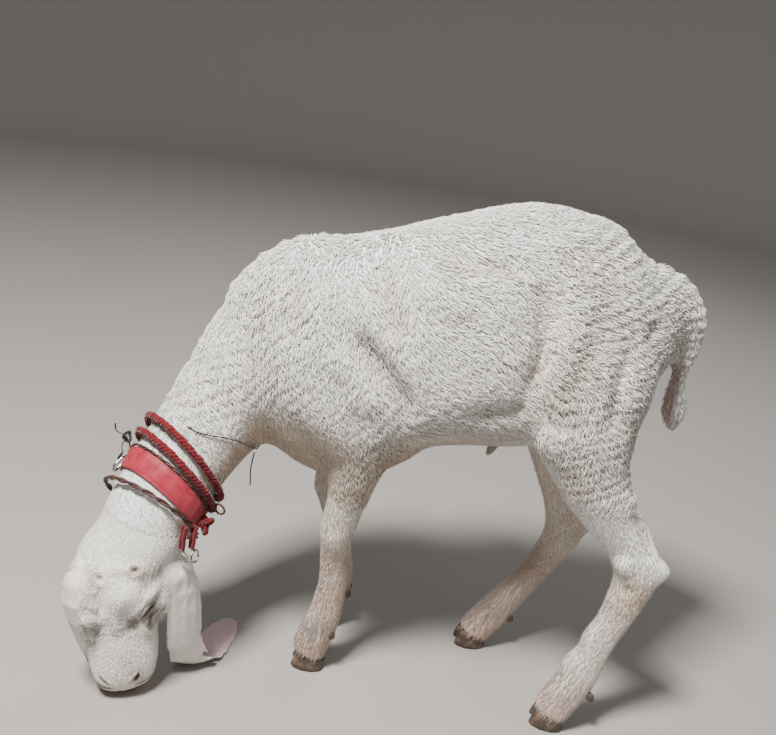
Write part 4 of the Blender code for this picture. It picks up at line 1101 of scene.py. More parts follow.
def joined(parts):
    """The points and faces of several shapes in one."""
    faces = []
    start = 0
    for p, f in parts:
        faces.extend(tuple(start + v for v in face) for face in f)
        start += len(p)
    return np.concatenate([p for p, _ in parts]), faces


def laid_rope(path, radius, closed, hint, pitch, strands=3, sides=8):
    """Strands twisted round the path."""
    _, out, side = path_frames(path, closed, hint)
    steps = np.linalg.norm(np.diff(np.vstack([path, path[:1]]), axis=0), axis=1)
    run = np.concatenate([[0], np.cumsum(steps[:-1])])
    total = steps.sum() if closed else run[-1]
    turns = max(1, round(total / pitch))
    parts = []
    for k in range(strands):
        angle = math.tau * (run / total * turns + k / strands)
        off = 0.50 * radius * (np.cos(angle)[:, None] * out + np.sin(angle)[:, None] * side)
        parts.append(tube(path + off, 0.52 * radius, closed, hint, sides))
    return joined(parts)


def outward(obj):
    """The object with its faces turned outward."""
    bm = bmesh.new()
    bm.from_mesh(obj.data)
    bmesh.ops.recalc_face_normals(bm, faces=bm.faces)
    bm.to_mesh(obj.data)
    bm.free()
    return obj


def through(points, count):
    """A smooth path through the points."""
    p = np.asarray(points, float)
    p = np.vstack([2 * p[0] - p[1], p, 2 * p[-1] - p[-2]])
    t = np.linspace(0, len(points) - 1 - 1e-9, count)
    i = t.astype(int)
    f = (t - i)[:, None]
    a, b, c, d = p[i], p[i + 1], p[i + 2], p[i + 3]
    return b + 0.5 * f * (c - a + f * (2 * a - 5 * b + 4 * c - d + f * (3 * (b - c) + d - a)))


def ribbon(path, width, thick, hint, twist=0.0):
    """A flat strip along an open path, turning as it goes."""
    along, out, side = path_frames(path, False, hint)
    turn = np.linspace(0, twist, len(path))[:, None]
    wide = np.cos(turn) * side + np.sin(turn) * out
    deep = np.cross(along, wide)
    width = np.broadcast_to(width, (len(path),))[:, None]
    ring = []
    for a, b in ((-1, -0.5), (-1, 0.5), (-0.6, 1), (0.6, 1), (1, 0.5), (1, -0.5), (0.6, -1), (-0.6, -1)):
        ring.append(a * width / 2 * wide + b * thick / 2 * deep)
    return swept(path, np.stack(ring, axis=1), False)


def fuzz(path, normal, radius, count, seed):
    """Loose fibres round a closed rope: thin, short and every which way."""
    rng = np.random.default_rng(seed)
    along, out, side = path_frames(path, True, normal)
    i = rng.integers(0, len(path), count)
    turn = rng.uniform(0, math.tau, count)[:, None]
    away = np.cos(turn) * out[i] + np.sin(turn) * side[i]
    forth = rng.choice(SIDES, count)[:, None]
    way = unit(0.8 * along[i] * forth + rng.uniform(0.15, 0.9, count)[:, None] * away
               + 0.4 * rng.normal(size=(count, 3)))
    length = rng.uniform(0.002, 0.0055, count)[:, None]
    root = path[i] + rng.normal(0, 0.0008, (count, 1)) * along[i] + (radius - 0.0006) * away
    bend = rng.normal(0, 0.0008, (count, 3))
    paths = np.stack([root + t * length * way + t * t * bend for t in (0, 0.4, 0.75, 1)], axis=1)
    sides = np.repeat(unit(np.cross(way, away))[:, None], 4, axis=1)
    ups = np.repeat(away[:, None], 4, axis=1)
    return blades(paths, sides, ups, np.tile((0.00040, 0.00034, 0.00022, 0.0), (count, 1)), 0.8)


def blade_faces(rings):
    """Triangles of a three-sided blade that closes in a tip."""
    faces = [(0, 1, 2)]
    for k in range(rings - 1):
        for a in range(3):
            b = (a + 1) % 3
            lo, hi = k * 3, k * 3 + 3
            faces.append((lo + a, hi + a, hi + b))
            faces.append((lo + a, hi + b, lo + b))
    top = (rings - 1) * 3
    faces += [(top + a, rings * 3, top + (a + 1) % 3) for a in range(3)]
    return np.array(faces)[:, ::-1]


def blades(paths, sides, ups, widths, thick):
    """Points and faces of solid three-sided blades, one along each path."""
    count, rings = paths.shape[:2]
    rings -= 1
    across = sides[:, :rings] * widths[:, :rings, None] / 2
    up = ups[:, :rings] * (widths[:, :rings, None] * thick)
    base = paths[:, :rings]
    ring = np.stack([base - across, base + across, base + up], axis=2)
    points = np.concatenate([ring.reshape(count, rings * 3, 3), paths[:, rings:]], axis=1)
    faces = np.arange(count)[:, None, None] * (rings * 3 + 1) + blade_faces(rings)[None]
    return points.reshape(-1, 3), faces.reshape(-1, 3)


def worn(name, geometry, node, slot, material):
    """A piece that stands for a CAD node."""
    return dress(outward(mesh_object(name, *geometry)), material, slot, [node])


def wavy(path, hint, size, waves, seed):
    """A path with a small wander, as a hand-laid rope has."""
    _, out, side = path_frames(path, True, hint)
    a = noise(path, size, seed)[:, None]
    b = noise(path, size, seed + 1)[:, None]
    return path + waves * (a * out + b * side)


ROPE_RADIUS = 0.0050


def make_ropes():
    red = fibre_material("red_rope", (0.23, 0.005, 0.013), (0.06, 0.002, 0.005), 900.0)
    for i, name in enumerate(("rope_upper", "rope_lower")):
        path, normal = loop_path(unique_points(name), 240)
        path = wavy(path, normal, 0.030, 0.0006, 40 + i)
        worn(f"{name}_laid", laid_rope(path, ROPE_RADIUS, True, normal, 0.017), name, "red_rope", red)
        fibres = mesh_object(f"{name}_fibres", *fuzz(path, normal, ROPE_RADIUS, 900, 50 + i))
        dress(fibres, red, "red_rope")
    t = np.linspace(0, math.tau, 160, endpoint=False)
    knot = np.stack([0.0058 * (np.sin(t) + 1.3 * np.sin(2 * t)) / 1.5, 0.0050 * np.sin(3 * t),
                     0.0088 * (np.cos(t) - 1.3 * np.cos(2 * t)) / 1.6], axis=1)
    worn("knot_throat_tied", laid_rope(centre_of("knot_throat") + knot, 0.0040, True, (0.3, 0.2, 0.9), 0.016),
         "knot_throat", "red_rope", red)
    for name in ("strap_end_front", "strap_end_back"):
        points = unique_points(name)
        top = points[points[:, 2] > points[:, 2].max() - 0.004].mean(axis=0)
        low = points[points[:, 2] < points[:, 2].min() + 0.004].mean(axis=0)
        t = np.linspace(0, 1, 60)[:, None]
        middle = points.mean(axis=0)
        path = (1 - t) ** 2 * top + 2 * t * (1 - t) * (2 * middle - (top + low) / 2) + t * t * low
        hint = unit(np.array((0.8, -0.5, 0.0)))
        pair = []
        for k in SIDES:
            strand = path + k * 0.0026 * hint + 0.0006 * np.sin(t * 9 + k) * np.array((0.3, 0.5, 0.0))
            pair.append(laid_rope(strand, 0.0026, False, hint, 0.010))
        worn(f"{name}_laid", joined(pair), name, "red_rope", red)


BELT_HALF_THICK = 0.00125


def make_belt():
    points = unique_points("belt")
    centre, axes = loop_axes(points)
    level = (points - centre) @ axes[2]
    cuts = [loop_path(points[pick], 200)[0] for pick in (level > 0, level < 0)]
    # both halves start at the same angle only if their axes agree, so the second is matched to the first
    near = int(np.argmin(np.linalg.norm(cuts[1] - cuts[0][0], axis=1)))
    second = np.roll(cuts[1], -near, axis=0)
    if np.linalg.norm(second[50] - cuts[0][50]) > np.linalg.norm(second[-50] - cuts[0][50]):
        second = np.roll(second[::-1], 1, axis=0)
    upper, lower = cuts[0], second
    middle = (upper + lower) / 2
    wide = (upper - lower) / 2
    along = unit(np.roll(middle, -1, axis=0) - np.roll(middle, 1, axis=0))
    out = unit(np.cross(along, wide))
    out *= np.sign((out * (middle - centre)).sum(axis=1))[:, None]
    # half of the section, from the middle of the inner side round to the middle of the outer one
    half = ((0.96, -1.0), (1.0, -0.6), (1.02, 0.0), (1.0, 0.6), (0.96, 1.0), (0.88, 1.12), (0.84, 0.86),
            (0.80, 1.05), (0.4, 1.2))
    section = [(-a, b) for a, b in half[1:]] + [(0.0, 1.25)] + list(half[::-1]) + [(0.0, -1.0), (-0.96, -1.0)]
    turn = [across * wide + deep * BELT_HALF_THICK * out for across, deep in section]
    worn("belt_band", swept(middle, np.stack(turn, axis=1), True), "belt", "pink_leather", belt_material())


def make_small_gear():
    leather = leather_material()
    steel = steel_material()
    thread = fibre_material("black_thread", (0.040, 0.034, 0.032), (0.010, 0.008, 0.008), 2500.0, 0.8, 0.0002)
    for name, radius, material, slot in (
            ("cord_on_belt", 0.0019, leather, "brown_leather"),
            ("cord_lower", 0.0032, leather, "brown_leather"),
            ("loop_black", 0.0014, leather, "brown_leather"), ("buckle", 0.0021, steel, "steel"),
            ("ring_front", 0.0014, steel, "steel"), ("ring_back", 0.0014, steel, "steel")):
        path, normal = loop_path(unique_points(name), 160, 0.16)
        if name.startswith("cord"):
            shape = laid_rope(path, 1.08 * radius, True, normal, 13 * radius, 2, 10)
        else:
            shape = tube(path, radius, True, normal, 12)
        worn(f"{name}_fine", shape, name, slot, material)
    path, normal = loop_path(unique_points("thread"), 260, 0.10)
    # over the nape the wool hides it
    inward = unit(path.mean(axis=0) - path)
    path = path + (0.0075 * ramp(path[:, 2], 0.372, 0.386))[:, None] * inward
    worn("thread_fine", laid_rope(path, 0.0011, True, normal, 0.006, 2, 6), "thread", "black_thread", thread)
    points = unique_points("thread_end")
    points = points[np.argsort(points[:, 2])]
    levels = np.linspace(points[0, 2], points[-1, 2], 24)
    line = np.array([points[np.abs(points[:, 2] - z) < 0.0075].mean(axis=0) for z in levels])
    line[:, 2] = levels
    end = worn("thread_end_fine", tube(line[::-1], 0.0009, False, (1.0, 0.2, 0.0), 8), "thread_end",
               "black_thread", thread)
    centre = centre_of("knot_ribbon")
    t = np.linspace(0, math.tau, 120, endpoint=False)
    bow = np.stack([0.0048 * np.sin(t) * (1 + 0.3 * np.cos(3 * t)), 0.0042 * np.sin(2 * t),
                    0.0060 * np.cos(t) * (1 + 0.2 * np.sin(2 * t))], axis=1)
    parts = [tube(centre + bow, 0.0021, True, (0.2, 1.0, 0.1), 8)]
    for i, line in enumerate((
            ((0.009, -0.007, -0.016), (0.004, -0.003, -0.005), (-0.004, 0.000, 0.002), (-0.015, 0.002, 0.006),
             (-0.017, 0.003, 0.016)),
            ((0.002, -0.004, 0.004), (-0.004, -0.006, -0.010), (-0.003, -0.007, -0.020),
             (-0.008, -0.008, -0.030)))):
        path = centre + through(line, 40)
        parts.append(ribbon(path, np.linspace(0.0046, 0.0030, 40), 0.0012, (0.2, 1.0, 0.2), 1.4 * (-1) ** i))
    worn("knot_ribbon_tied", joined(parts), "knot_ribbon", "black_thread", thread)


# ---------------------------------------------------------------- eyes and hooves


def make_eyes():
    for name, eye in EYES.items():
        bm = bmesh.new()
        bmesh.ops.create_uvsphere(bm, u_segments=40, v_segments=28, radius=eye.radius - 0.0004)
        for vertex in bm.verts:
            direction = vertex.co.normalized()
            # the cornea stands out a little in front
            swell = max(0.0, direction.dot(Vector(eye.out)) - 0.78) / 0.22
            vertex.co += direction * 0.0007 * swell ** 0.7
            vertex.co += Vector(eye.middle)
        mesh = bpy.data.meshes.new(f"{name}_ball")
        bm.to_mesh(mesh)
        bm.free()
        set_smooth(mesh)
        dress(in_scene(f"{name}_ball", mesh), eye_material(eye, f"{name}_wet"), "eye", [name])


def make_hooves():
    horn = horn_material()
    for name in sorted(n for n in NODES if "claw" in n):
        small = name.startswith("dewclaw")
        piece = remeshed(f"{name}_horn", welded([name], 0.0001), 0.0007 if small else 0.0012)
        mesh = piece.data
        points = coordinates(mesh)
        on_floor = points[:, 2] < 0.0012
        smooth = Neighbours(mesh).smooth(points, 5 if small else 7)
        points = np.where(on_floor[:, None], points, smooth)
        if not small:
            grooves = noise(points * np.array((1.0, 1.0, 7.0)), 0.014, 31)
            points = points + np.where(on_floor, 0.0, 0.00035 * grooves)[:, None] * normals_of(mesh)
            points[:, 2] = np.where(on_floor, np.maximum(points[:, 2], 0.0), points[:, 2])
        set_coordinates(mesh, points)
        dress(piece, horn, "horn", [name])


# ---------------------------------------------------------------- coat


def comb_of(data):
    """Places squeezed along the lie of the coat, so that noise in them runs in streaks along it."""
    points = data["points"]
    shift = np.zeros_like(points)
    raw = unit(lie_of(data["nearest"], points))
    for i in range(len(FLESH)):
        pick = data["nearest"] == i
        if not pick.any():
            continue
        r = points[pick] - points[pick].mean(axis=0)
        shift[pick] = 0.80 * (r * raw[pick]).sum(axis=1)[:, None] * raw[pick]
    return points - data["ring"].smooth(shift, 40)


class Surface:
    """The skin to plant the coat on: its triangles, and values at places on them."""

    def __init__(self, skin, data):
        mesh = skin.data
        mesh.calc_loop_triangles()
        self.corners = read(mesh.loop_triangles, "vertices", 3, np.int32)
        self.points = data["points"]
        p = self.points[self.corners]
        self.area = np.linalg.norm(np.cross(p[:, 1] - p[:, 0], p[:, 2] - p[:, 0]), axis=1) / 2
        self.tree = BVHTree.FromPolygons(self.points.tolist(), self.corners.tolist())

    def sample(self, density, seed):
        """Places by density (tufts in a square metre): triangle and weights of its corners."""
        rng = np.random.default_rng(seed)
        weight = self.area * density[self.corners].mean(axis=1)
        total = np.cumsum(weight)
        count = int(total[-1])
        at = (np.arange(count) + rng.random(count)) / count * total[-1]
        triangle = np.minimum(np.searchsorted(total, at), len(weight) - 1)
        a = np.sqrt(rng.random(count))
        b = rng.random(count)
        return triangle, np.stack([1 - a, a * (1 - b), a * b], axis=1)

    def at(self, places, values):
        triangle, weights = places
        picked = values[self.corners[triangle]]
        if values.ndim == 1:
            return (picked * weights).sum(axis=1)
        return (picked * weights[:, :, None]).sum(axis=1)

    def drop(self, points):
        """The nearest places on the skin, with its normals there."""
        find = self.tree.find_nearest
        places = np.empty_like(points)
        normals = np.empty_like(points)
        for i, p in enumerate(points.tolist()):
            place, normal, _, _ = find(p)
            places[i] = place
            normals[i] = normal
        return places, normals


class Unwrap:
    """An unwrap of the body's own shape, to give each tuft its place in the coat's map."""

    def __init__(self):
        proxy = mesh_object("unwrap_form", *welded(FLESH))
        bpy.ops.object.select_all(action="DESELECT")
        proxy.select_set(True)
        bpy.context.view_layer.objects.active = proxy
        bpy.ops.object.mode_set(mode="EDIT")
        bpy.ops.mesh.select_all(action="SELECT")
        bpy.ops.uv.smart_project(angle_limit=math.radians(66), island_margin=0.006)
        bpy.ops.object.mode_set(mode="OBJECT")
        mesh = proxy.data
        mesh.calc_loop_triangles()
        corners = read(mesh.loop_triangles, "vertices", 3, np.int32)
        uv = read(mesh.uv_layers.active.data, "uv", 2)
        self.uv = uv[read(mesh.loop_triangles, "loops", 3, np.int32)].astype(float)
        self.corners = coordinates(mesh)[corners]
        self.tree = BVHTree.FromPolygons(coordinates(mesh).tolist(), corners.tolist())
        bpy.data.objects.remove(proxy)

    def at(self, points):
        find = self.tree.find_nearest
        places = np.empty_like(points)
        face = np.empty(len(points), dtype=int)
        for i, p in enumerate(points.tolist()):
            place, _, face[i], _ = find(p)
            places[i] = place
        a, b, c = (self.corners[face, i] for i in range(3))
        ab, ac, ap = b - a, c - a, places - a
        d00, d01, d11 = (ab * ab).sum(1), (ab * ac).sum(1), (ac * ac).sum(1)
        d20, d21 = (ap * ab).sum(1), (ap * ac).sum(1)
        area = np.maximum(d00 * d11 - d01 * d01, 1e-18)
        v = np.clip((d11 * d20 - d01 * d21) / area, 0, 1)
        w = np.clip((d00 * d21 - d01 * d20) / area, 0, 1 - v)
        u = 1 - v - w
        uv = self.uv[face]
        return u[:, None] * uv[:, 0] + v[:, None] * uv[:, 1] + w[:, None] * uv[:, 2]


def spread(points, gap, seed):
    """Indices of points that keep a gap from each other."""
    rng = np.random.default_rng(seed)
    taken = {}
    chosen = []
    cell = np.floor(points / gap).astype(int)
    for i in rng.permutation(len(points)).tolist():
        x, y, z = cell[i]
        p = points[i]
        if any((p[0] - q[0]) ** 2 + (p[1] - q[1]) ** 2 + (p[2] - q[2]) ** 2 < gap * gap
               for a in (-1, 0, 1) for b in (-1, 0, 1) for c in (-1, 0, 1)
               for q in taken.get((x + a, y + b, z + c), ())):
            continue
        taken.setdefault((x, y, z), []).append(p)
        chosen.append(i)
    return np.array(chosen)


class Locks:
    """Where the wool gathers: places of the locks, spread over the squeezed coat."""

    def __init__(self, comb, gap, seed):
        self.comb = comb[spread(comb, gap, seed)]
        self.tree = search_tree(self.comb)
        self.gap = gap

    def of(self, comb):
        find = self.tree.find
        return np.array([find(p)[1] for p in comb.tolist()])


PATCH = 0.0021  # of a tuft in the coat's map


def tuft_mesh(name, paths, sides, ups, widths, thick, colour, uv):
    """One solid tuft along each path: a flat three-sided blade that closes in a tip."""
    count, rings = len(paths), paths.shape[1] - 1
    points, faces = blades(paths, sides, ups, widths, thick)
    points[:, 2] = np.maximum(points[:, 2], 0.0004)
    obj = mesh_object(name, points, faces)
    t = np.concatenate([np.repeat(np.arange(rings) / rings, 3), [1.0]])
    add_attribute(obj.data, "along", np.tile(t, count))
    add_tint(obj.data, np.repeat(colour, len(t), axis=0))
    across = np.concatenate([np.tile([-0.5, 0.5, 0.0], rings), [0.0]])
    patch = PATCH * np.stack([across, t - 0.5], axis=1)
    corner = np.repeat(uv, len(t), axis=0) + np.tile(patch, (count, 1))
    layer = obj.data.uv_layers.new(name="OFBake")
    layer.data.foreach_set("uv", corner[faces.ravel()].astype(np.float32).ravel())
    return obj


def grow(surface, data, places, size, depth, locks, kind):
    """Paths of tufts that lie along the skin, gathered into locks."""
    rng = np.random.default_rng(kind.seed + 9)
    root = surface.at(places, surface.points)
    normal = unit(surface.at(places, data["normals"]))
    lie = surface.at(places, data["lie"])
    lie = unit(lie - (lie * normal).sum(axis=1)[:, None] * normal)
    side = np.cross(normal, lie)
    comb = surface.at(places, data["comb"])
    count = len(root)
    length = size[:, 0] * rng.uniform(0.75, 1.3, count)
    width = size[:, 1] * rng.uniform(0.75, 1.25, count)
    own = locks.of(comb)
    away = locks.comb[own] - comb
    # offsets from the lock's middle line, across it and along it
    across = (away * side).sum(axis=1)
    lock_rng = np.random.default_rng(kind.seed + 10)
    locks_count = len(locks.comb)
    phase = 3.2 * noise(root, 0.020, 21) + lock_rng.normal(0, 0.7, locks_count)[own]
    drift = kind.drift * (noise(root, 0.038, 22) + 0.35 * noise(root, 0.015, 23))
    lean = drift + lock_rng.normal(0, 0.16, locks_count)[own] + rng.normal(0, 0.12, count)
    tall = lock_rng.uniform(0.88, 1.08, locks_count)[own] * rng.uniform(0.92, 1.06, count)
    wave_here = kind.wave * (0.75 + 0.5 * noise(root, 0.045, 24))
    valley_here = kind.valley * (0.65 + 0.6 * noise(root, 0.050, 25))
    wild = surface.at(places, data["wild"])
    stray = rng.random(count) ** 6 * wild
    calm = 0.15 + 0.85 * wild
    uneven = np.clip(0.7 + 0.6 * noise(root, 0.05, 27), 0.1, 1.2)
    crimp = surface.at(places, data["crimp"]) * kind.crimp * uneven
    ripple = surface.at(places, data["ripple"])
    loose = surface.at(places, data["fringe"])[:, None]
    share = np.clip(np.abs(across) / (0.5 * locks.gap), 0, 1.2)
    s_along = (root * lie).sum(axis=1)
    rings = kind.rings
    paths = np.empty((count, rings + 1, 3))
    ups = np.empty_like(paths)
    for k in range(rings + 1):
        t = k / rings
        bend = wave_here * (np.sin(phase + (s_along + t * length) / kind.period * math.tau)
                            - np.sin(phase + s_along / kind.period * math.tau))
        aside = (LOCK_PULL * across * t ** 1.3 + bend + lean * t * length * 0.5) * calm
        straight = root + (t * length)[:, None] * lie + aside[:, None] * side
        p, n = surface.drop(straight) if k else (root, normal)
        n = unit(0.6 * n + 0.4 * normal)
        p = p * (1 - loose) + straight * loose
        n = unit(n * (1 - loose) + normal * loose)
        crest = 1 + crimp * np.sin(ripple + t * length / RIPPLE * math.tau)
        high = depth * kind.rise[k] * tall * crest * (1 - valley_here * share ** 2)
        high = high + t ** 2 * (kind.stand * size[:, 2] + kind.stray * stray)
        high = np.where(k == 0, -0.0006, np.maximum(high, 0.00012))
        paths[:, k] = p + high[:, None] * n
        ups[:, k] = n
    widths = width[:, None] * np.array(kind.taper)[None]
    along = np.gradient(paths, axis=1)
    sides = unit(np.cross(ups, along))
    ups = unit(np.cross(along, sides))
    return paths, sides, ups, widths, share, rng


def free_of_gear(points):
    """How free the coat is of what is worn round the neck: 0 under it, 1 clear of it."""
    gear = [n for n in NODES
            if n.startswith(("rope", "belt", "cord", "strap", "knot", "buckle", "loop", "ring"))]
    tree = search_tree(np.concatenate([unique_points(n) for n in gear]))
    near = np.array([tree.find(p)[2] for p in points.tolist()])
    return ramp(near, 0.0035, 0.0105)


REGIONS = ("head", "ears", "neck", "shoulders", "barrel", "rump", "forelegs", "hindlegs", "tail")


def region_of(data):
    """Which piece of the coat grows at each point."""
    labels = data["labels"]
    part = PARTS[data["nearest"]]
    x = data["points"][:, 0]
    region = np.full(len(x), REGIONS.index("barrel"))
    for name, pick in (("shoulders", labels["trunk"] & (x < -0.08)), ("rump", labels["trunk"] & (x > 0.16)),
                       ("head", labels["head"]), ("ears", labels["ear"]), ("neck", labels["neck"]),
                       ("tail", labels["tail"]), ("forelegs", np.char.startswith(part, "foreleg")),
                       ("hindlegs", np.char.startswith(part, "hindleg"))):
        region[pick] = REGIONS.index(name)
    return region


# The two kinds of tuft. Each has so many rings before its tip, and is gathered into locks with a gap between
# them. It waves over a period, rises over the skin and tapers ring by ring, and has its own drift, stray
# hairs and height where it stands up. The limit is the most tufts that a piece takes.
LOCK_PULL = 0.45  # how far tufts lean to the middle of their lock
WOOL = SimpleNamespace(
    name="wool", slot="wool", seed=100, rings=3, gap=0.0078, wave=0.0018, period=0.0150, valley=0.20,
    stand=0.0030, thick=0.20, drift=0.70, stray=0.0014, crimp=0.40, rise=(0.0, 0.80, 1.00, 0.80),
    taper=(0.8, 1.05, 0.86, 0.0), limit=9000)
HAIR = SimpleNamespace(
    name="hair", slot="short_hair", seed=200, rings=2, gap=0.0042, wave=0.0005, period=0.0110, valley=0.25,
    stand=0.0009, thick=0.17, drift=0.22, stray=0.0009, crimp=0.25,
    rise=[0.95 * ramp(np.float64(t), -0.1, 0.9) for t in (0.0, 0.5, 1.0)], taper=(0.85, 0.95, 0.0),
    limit=12000)


def plant(kind, surface, data, unwrap, density, size_of, depth_of, material):
    """Grows one kind of tuft over the skin, in a piece for each part of the body."""
    places = surface.sample(density, kind.seed)
    size = surface.at(places, size_of)
    depth = surface.at(places, depth_of)
    locks = Locks(data["comb"], kind.gap, kind.seed + 5)
    paths, sides, ups, widths, share, rng = grow(surface, data, places, size, depth, locks, kind)
    colour = surface.at(places, data["tint"])
    # each tuft lighter or darker at random, with painted shade at the edges of its lock
    light = rng.normal(1.0, 0.035, len(colour)) * (1.02 - 0.06 * np.minimum(share, 1) ** 2)
    # painted light and shade: the ripples lighter on their crests and darker in their troughs
    turn = surface.at(places, data["ripple"]) + 0.7 * size[:, 0] / RIPPLE * math.tau
    ripple_shade = surface.at(places, data["crimp"] * ramp(data["wool"], 0.3, 0.8))
    light *= 1 + 0.14 * ripple_shade * (np.sin(turn) - 0.4)
    colour = np.clip(colour * light[:, None], 0, 1)
    uv = unwrap.at(paths[:, 0])
    region = data["region"][surface.corners[places[0], np.argmax(places[1], axis=1)]]
    for i, name in enumerate(REGIONS):
        pick = np.nonzero(region == i)[0]
        if len(pick) == 0:
            continue
        pick = pick[np.argsort(paths[pick, 0, 1 if "leg" in name else 0], kind="stable")]
        parts = math.ceil(len(pick) / kind.limit)
        for j, chosen in enumerate(np.array_split(pick, parts)):
            label = f"{kind.name}_{name}" + (f"_{j + 1}" if parts > 1 else "")
            tufts = tuft_mesh(label, paths[chosen], sides[chosen], ups[chosen], widths[chosen], kind.thick,
                              colour[chosen], uv[chosen])
            dress(tufts, material, kind.slot)


def grow_coat(surface, data, unwrap):
    labels, points, wool = data["labels"], data["points"], data["wool"]
    free = free_of_gear(points)
    depth = np.where(labels["ear"], 0.0006, HAIR_DEPTH + (WOOL_DEPTH - HAIR_DEPTH) * wool)
    depth = depth * (0.35 + 0.65 * free)
    clear_of_lids = data["lid"] > 0.004

    back = ramp(data["normals"][:, 2], 0.75, 0.95) * labels["trunk"]
    switch = labels["tail"] * ramp(0.545 - points[:, 2], 0.0, 0.02)
    long = 0.0150 * (0.65 + 0.45 * wool) * (0.55 + 0.45 * free) * (1 - 0.30 * back) + 0.006 * switch
    stand = np.maximum(back * free, 1.2 * switch)
    size = np.stack([long, np.full(len(long), 0.0014), stand], axis=1)
    plant(WOOL, surface, data, unwrap, 98000.0 * ramp(wool, 0.14, 0.42) * clear_of_lids, size, depth,
          coat_material("wool_locks", 0.80, 0.30))

    fine = (labels["head"] | labels["ear"]) + labels["neck"] * ramp(0.30 - points[:, 2], 0.0, 0.04)
    fine = np.maximum(fine, 0.45 * labels["leg_lower"])
    fetlock = labels["leg_lower"] * bump_at(points * np.array((0, 0, 1.0)), (0, 0, 0.075), 0.05)
    spiky = bump_at(points, head_place(0.076, 0.008, -0.049), 0.013)  # tufts at the right ear's root
    long = 0.0105 - 0.0030 * fine + 0.006 * fetlock + 0.004 * data["fringe"] - 0.0030 * labels["ear"]
    stand = 0.3 * (1 - fine) + 0.8 * fetlock + 7.0 * spiky
    size = np.stack([long + 0.009 * spiky, 0.00085 - 0.00030 * fine, stand], axis=1)
    bare = np.where(labels["head"], ramp(data["bare"], 0.1, 0.6), 0.0)
    density = (90000.0 + 125000.0 * fine) * (1 - ramp(wool, 0.25, 0.60)) * (1 - bare) * clear_of_lids
    flat = depth * (1 - 0.55 * fine) + 0.0003 - 0.0003 * labels["ear"]
    plant(HAIR, surface, data, unwrap, density, size, flat, coat_material("short_hair", 0.66, 0.15))


# ---------------------------------------------------------------- camera and studio


CAMERA_PLACE = body_place(0.0, -1.13, 0.892)
CAMERA_RUN, CAMERA_FALL = 2362, 900  # how far it looks ahead, and how far down over that
CAMERA_ROLL = 9  # degrees
LENS = 41.75
FLOOR_SIDES = 72


def make_studio():
    scene = bpy.context.scene
    down = math.atan2(CAMERA_FALL, CAMERA_RUN)
    roll = math.radians(CAMERA_ROLL)
    ahead = np.array((0, math.cos(down), -math.sin(down)))
    level = np.array((1.0, 0, 0))
    above = np.array((0, math.sin(down), math.cos(down)))
    right = math.cos(roll) * level + math.sin(roll) * above
    up = -math.sin(roll) * level + math.cos(roll) * above
    camera = in_scene("camera", bpy.data.cameras.new("camera"))
    camera.data.lens = LENS
    camera.data.sensor_width = 36.0
    camera.data.clip_start = 0.01
    place = np.eye(4)
    place[:3, 0], place[:3, 1], place[:3, 2] = right, up, -ahead
    place[:3, 3] = CAMERA_PLACE
    camera.matrix_world = Matrix(place.tolist())
    scene.camera = camera

    # a round floor that curves up into a wall, so that it closes the view from every side
    bm = bmesh.new()
    profile = [(0.001, 0.0), (2.0, 0.0), (4.5, 0.0)]
    profile += [(4.5 + 1.5 * math.sin(a), 1.5 - 1.5 * math.cos(a)) for a in np.linspace(0.1, math.pi / 2, 12)]
    profile += [(6.0, 4.5)]
    rows = []
    for radius, z in profile:
        rows.append([bm.verts.new((radius * math.cos(a), radius * math.sin(a), z))
                     for a in np.arange(FLOOR_SIDES) * math.tau / FLOOR_SIDES])
    for low, high in zip(rows, rows[1:]):
        for k in range(FLOOR_SIDES):
            m = (k + 1) % FLOOR_SIDES
            bm.faces.new((low[k], low[m], high[m], high[k]))
    mesh = bpy.data.meshes.new("floor")
    bm.to_mesh(mesh)
    bm.free()
    set_smooth(mesh)
    floor = in_scene("floor", mesh)
    paper = Shader("paper")
    paper.set(Base_Color=(0.33, 0.315, 0.295, 1.0), Roughness=0.9, Specular_IOR_Level=0.2)
    mesh.materials.append(paper.material)

    for name, power, size, place, aim, colour in (
            ("key", 205.0, 0.50, (-0.70, -0.95, 2.65), (0.0, 0.0, 0.35), (1.0, 0.975, 0.94)),
            ("fill", 7.0, 2.0, (2.1, -1.5, 1.2), (0.0, 0.0, 0.3), (1.0, 0.98, 0.95)),
            ("back", 18.0, 1.6, (0.9, 1.8, 2.0), (0.0, 0.0, 0.35), (1.0, 1.0, 1.0))):
        lamp = bpy.data.lights.new(name, "AREA")
        lamp.energy = power
        lamp.size = size
        lamp.color = colour
        obj = in_scene(name, lamp)
        obj.location = place
        obj.rotation_euler = (Vector(aim) - Vector(place)).to_track_quat("-Z", "Y").to_euler()
    world = bpy.data.worlds.new("studio")
    world.use_nodes = True
    world.node_tree.nodes["Background"].inputs[0].default_value = (0.88, 0.90, 0.93, 1.0)
    world.node_tree.nodes["Background"].inputs[1].default_value = 0.22
    scene.world = world


# ---------------------------------------------------------------- the sheep


def crimp_of(data):
    """How strongly the wool lies in ripples: most on the haunches, the thighs and the neck."""
    x, _, z = (data["points"] - MIDLINE).T
    crimp = 0.28 + 0.72 * ramp(x, 0.13, 0.21) + 0.45 * ramp(-x, 0.08, 0.15)
    # the loin's wool is flatter, and it varies from place to place
    crimp *= (1 - 0.6 * ramp(z, 0.66, 0.70)) * (0.95 + 0.5 * noise(data["points"], 0.07, 43))
    crimp *= 0.92 + 0.45 * noise(data["points"], 0.030, 44)
    return np.clip(crimp, 0, 1)


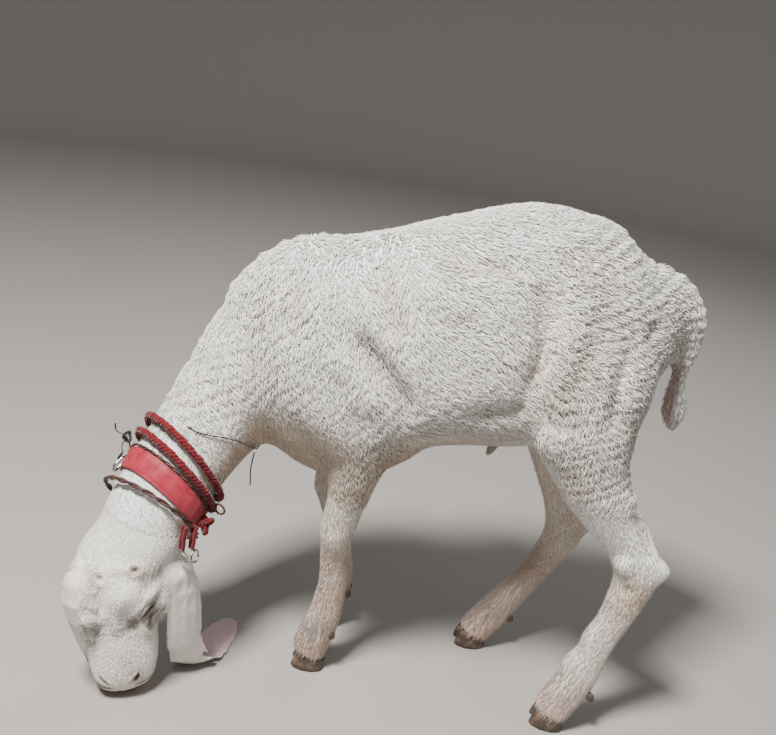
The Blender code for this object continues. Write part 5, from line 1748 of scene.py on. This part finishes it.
def ripple_of(data):
    """Where each point lies in the wool's ripples, as an angle."""
    points, labels = data["points"], data["labels"]
    way = between(ramp(points[:, 0], 0.12, 0.20)[:, None], (0.75, 0.0, -0.66), (0.40, 0.0, -0.92))
    way = np.where(labels["neck"][:, None], np.array((0.50, 0.0, -0.87)), way)
    way = np.where((labels["leg_upper"] | labels["tail"])[:, None], np.array((0.10, 0.0, -1.0)), way)
    turn = (points * unit(way)).sum(axis=1) / RIPPLE * math.tau
    return turn + 4.8 * noise(points, 0.050, 41) + 1.0 * noise(points, 0.020, 42)


def bare_of(data):
    """How bare the skin is on the head: nostrils, lips, lids and horn buds."""
    share, _, left = head_coordinates(data["points"]).T
    bare = np.maximum(ramp(share, 0.90, 0.95), 1 - ramp(data["lid"], 0.0, 0.007))
    for side in SIDES:
        bare = np.maximum(bare, 1 - ramp(np.hypot(*from_nostril(share, left, side)), 0.006, 0.011))
    for bud in BUDS:
        bare = np.maximum(bare, 0.8 * (1 - ramp(np.hypot(*from_bud(share, left, bud)), 0.004, 0.011)))
    return bare


def roll_wool(skin, data):
    """Lays the skin itself in the wool's ripples."""
    rolls = ROLL_HEIGHT * data["crimp"] * ramp(data["wool"], 0.3, 0.8) * np.sin(data["ripple"])
    data["points"] = data["points"] + rolls[:, None] * data["normals"]
    set_coordinates(skin.data, data["points"])
    data["normals"] = normals_of(skin.data)


def tint_of(data):
    """The markings and painted shade, with soft edges on the body and crisp ones on the head."""
    smooth = data["ring"].smooth
    # how deep each point lies in a hollow, for the painted shade there
    mean = smooth(data["points"], 10)
    hollow = smooth(((mean - data["points"]) * data["normals"]).sum(axis=1), 2)
    tint = markings_and_shade(data["points"], data["normals"], data["labels"], data["lid"], hollow)
    even = np.stack([smooth(channel, 14) for channel in tint.T], axis=1)
    crisp = (data["labels"]["head"] | data["labels"]["ear"])[:, None]
    return np.where(crisp, tint, 0.25 * tint + 0.75 * even)


skin, data = make_skin()
data["crimp"] = crimp_of(data)
data["ripple"] = ripple_of(data)
roll_wool(skin, data)
data["tint"] = tint_of(data)
data["comb"] = comb_of(data)
data["region"] = region_of(data)
data["bare"] = bare_of(data)
data["wild"] = 1.0 - data["labels"]["ear"]
data["fringe"] = data["labels"]["leg_lower"] * ramp(0.040 - data["points"][:, 2], 0.0, 0.008)
add_tint(skin.data, data["tint"])
add_attribute(skin.data, "comb", data["comb"])
add_attribute(skin.data, "wool", data["wool"])
set_smooth(skin.data)
dress(skin, skin_material(), "short_hair", FLESH)

make_eyes()
make_hooves()
make_ropes()
make_belt()
make_small_gear()

grow_coat(Surface(skin, data), data, Unwrap())
make_studio()
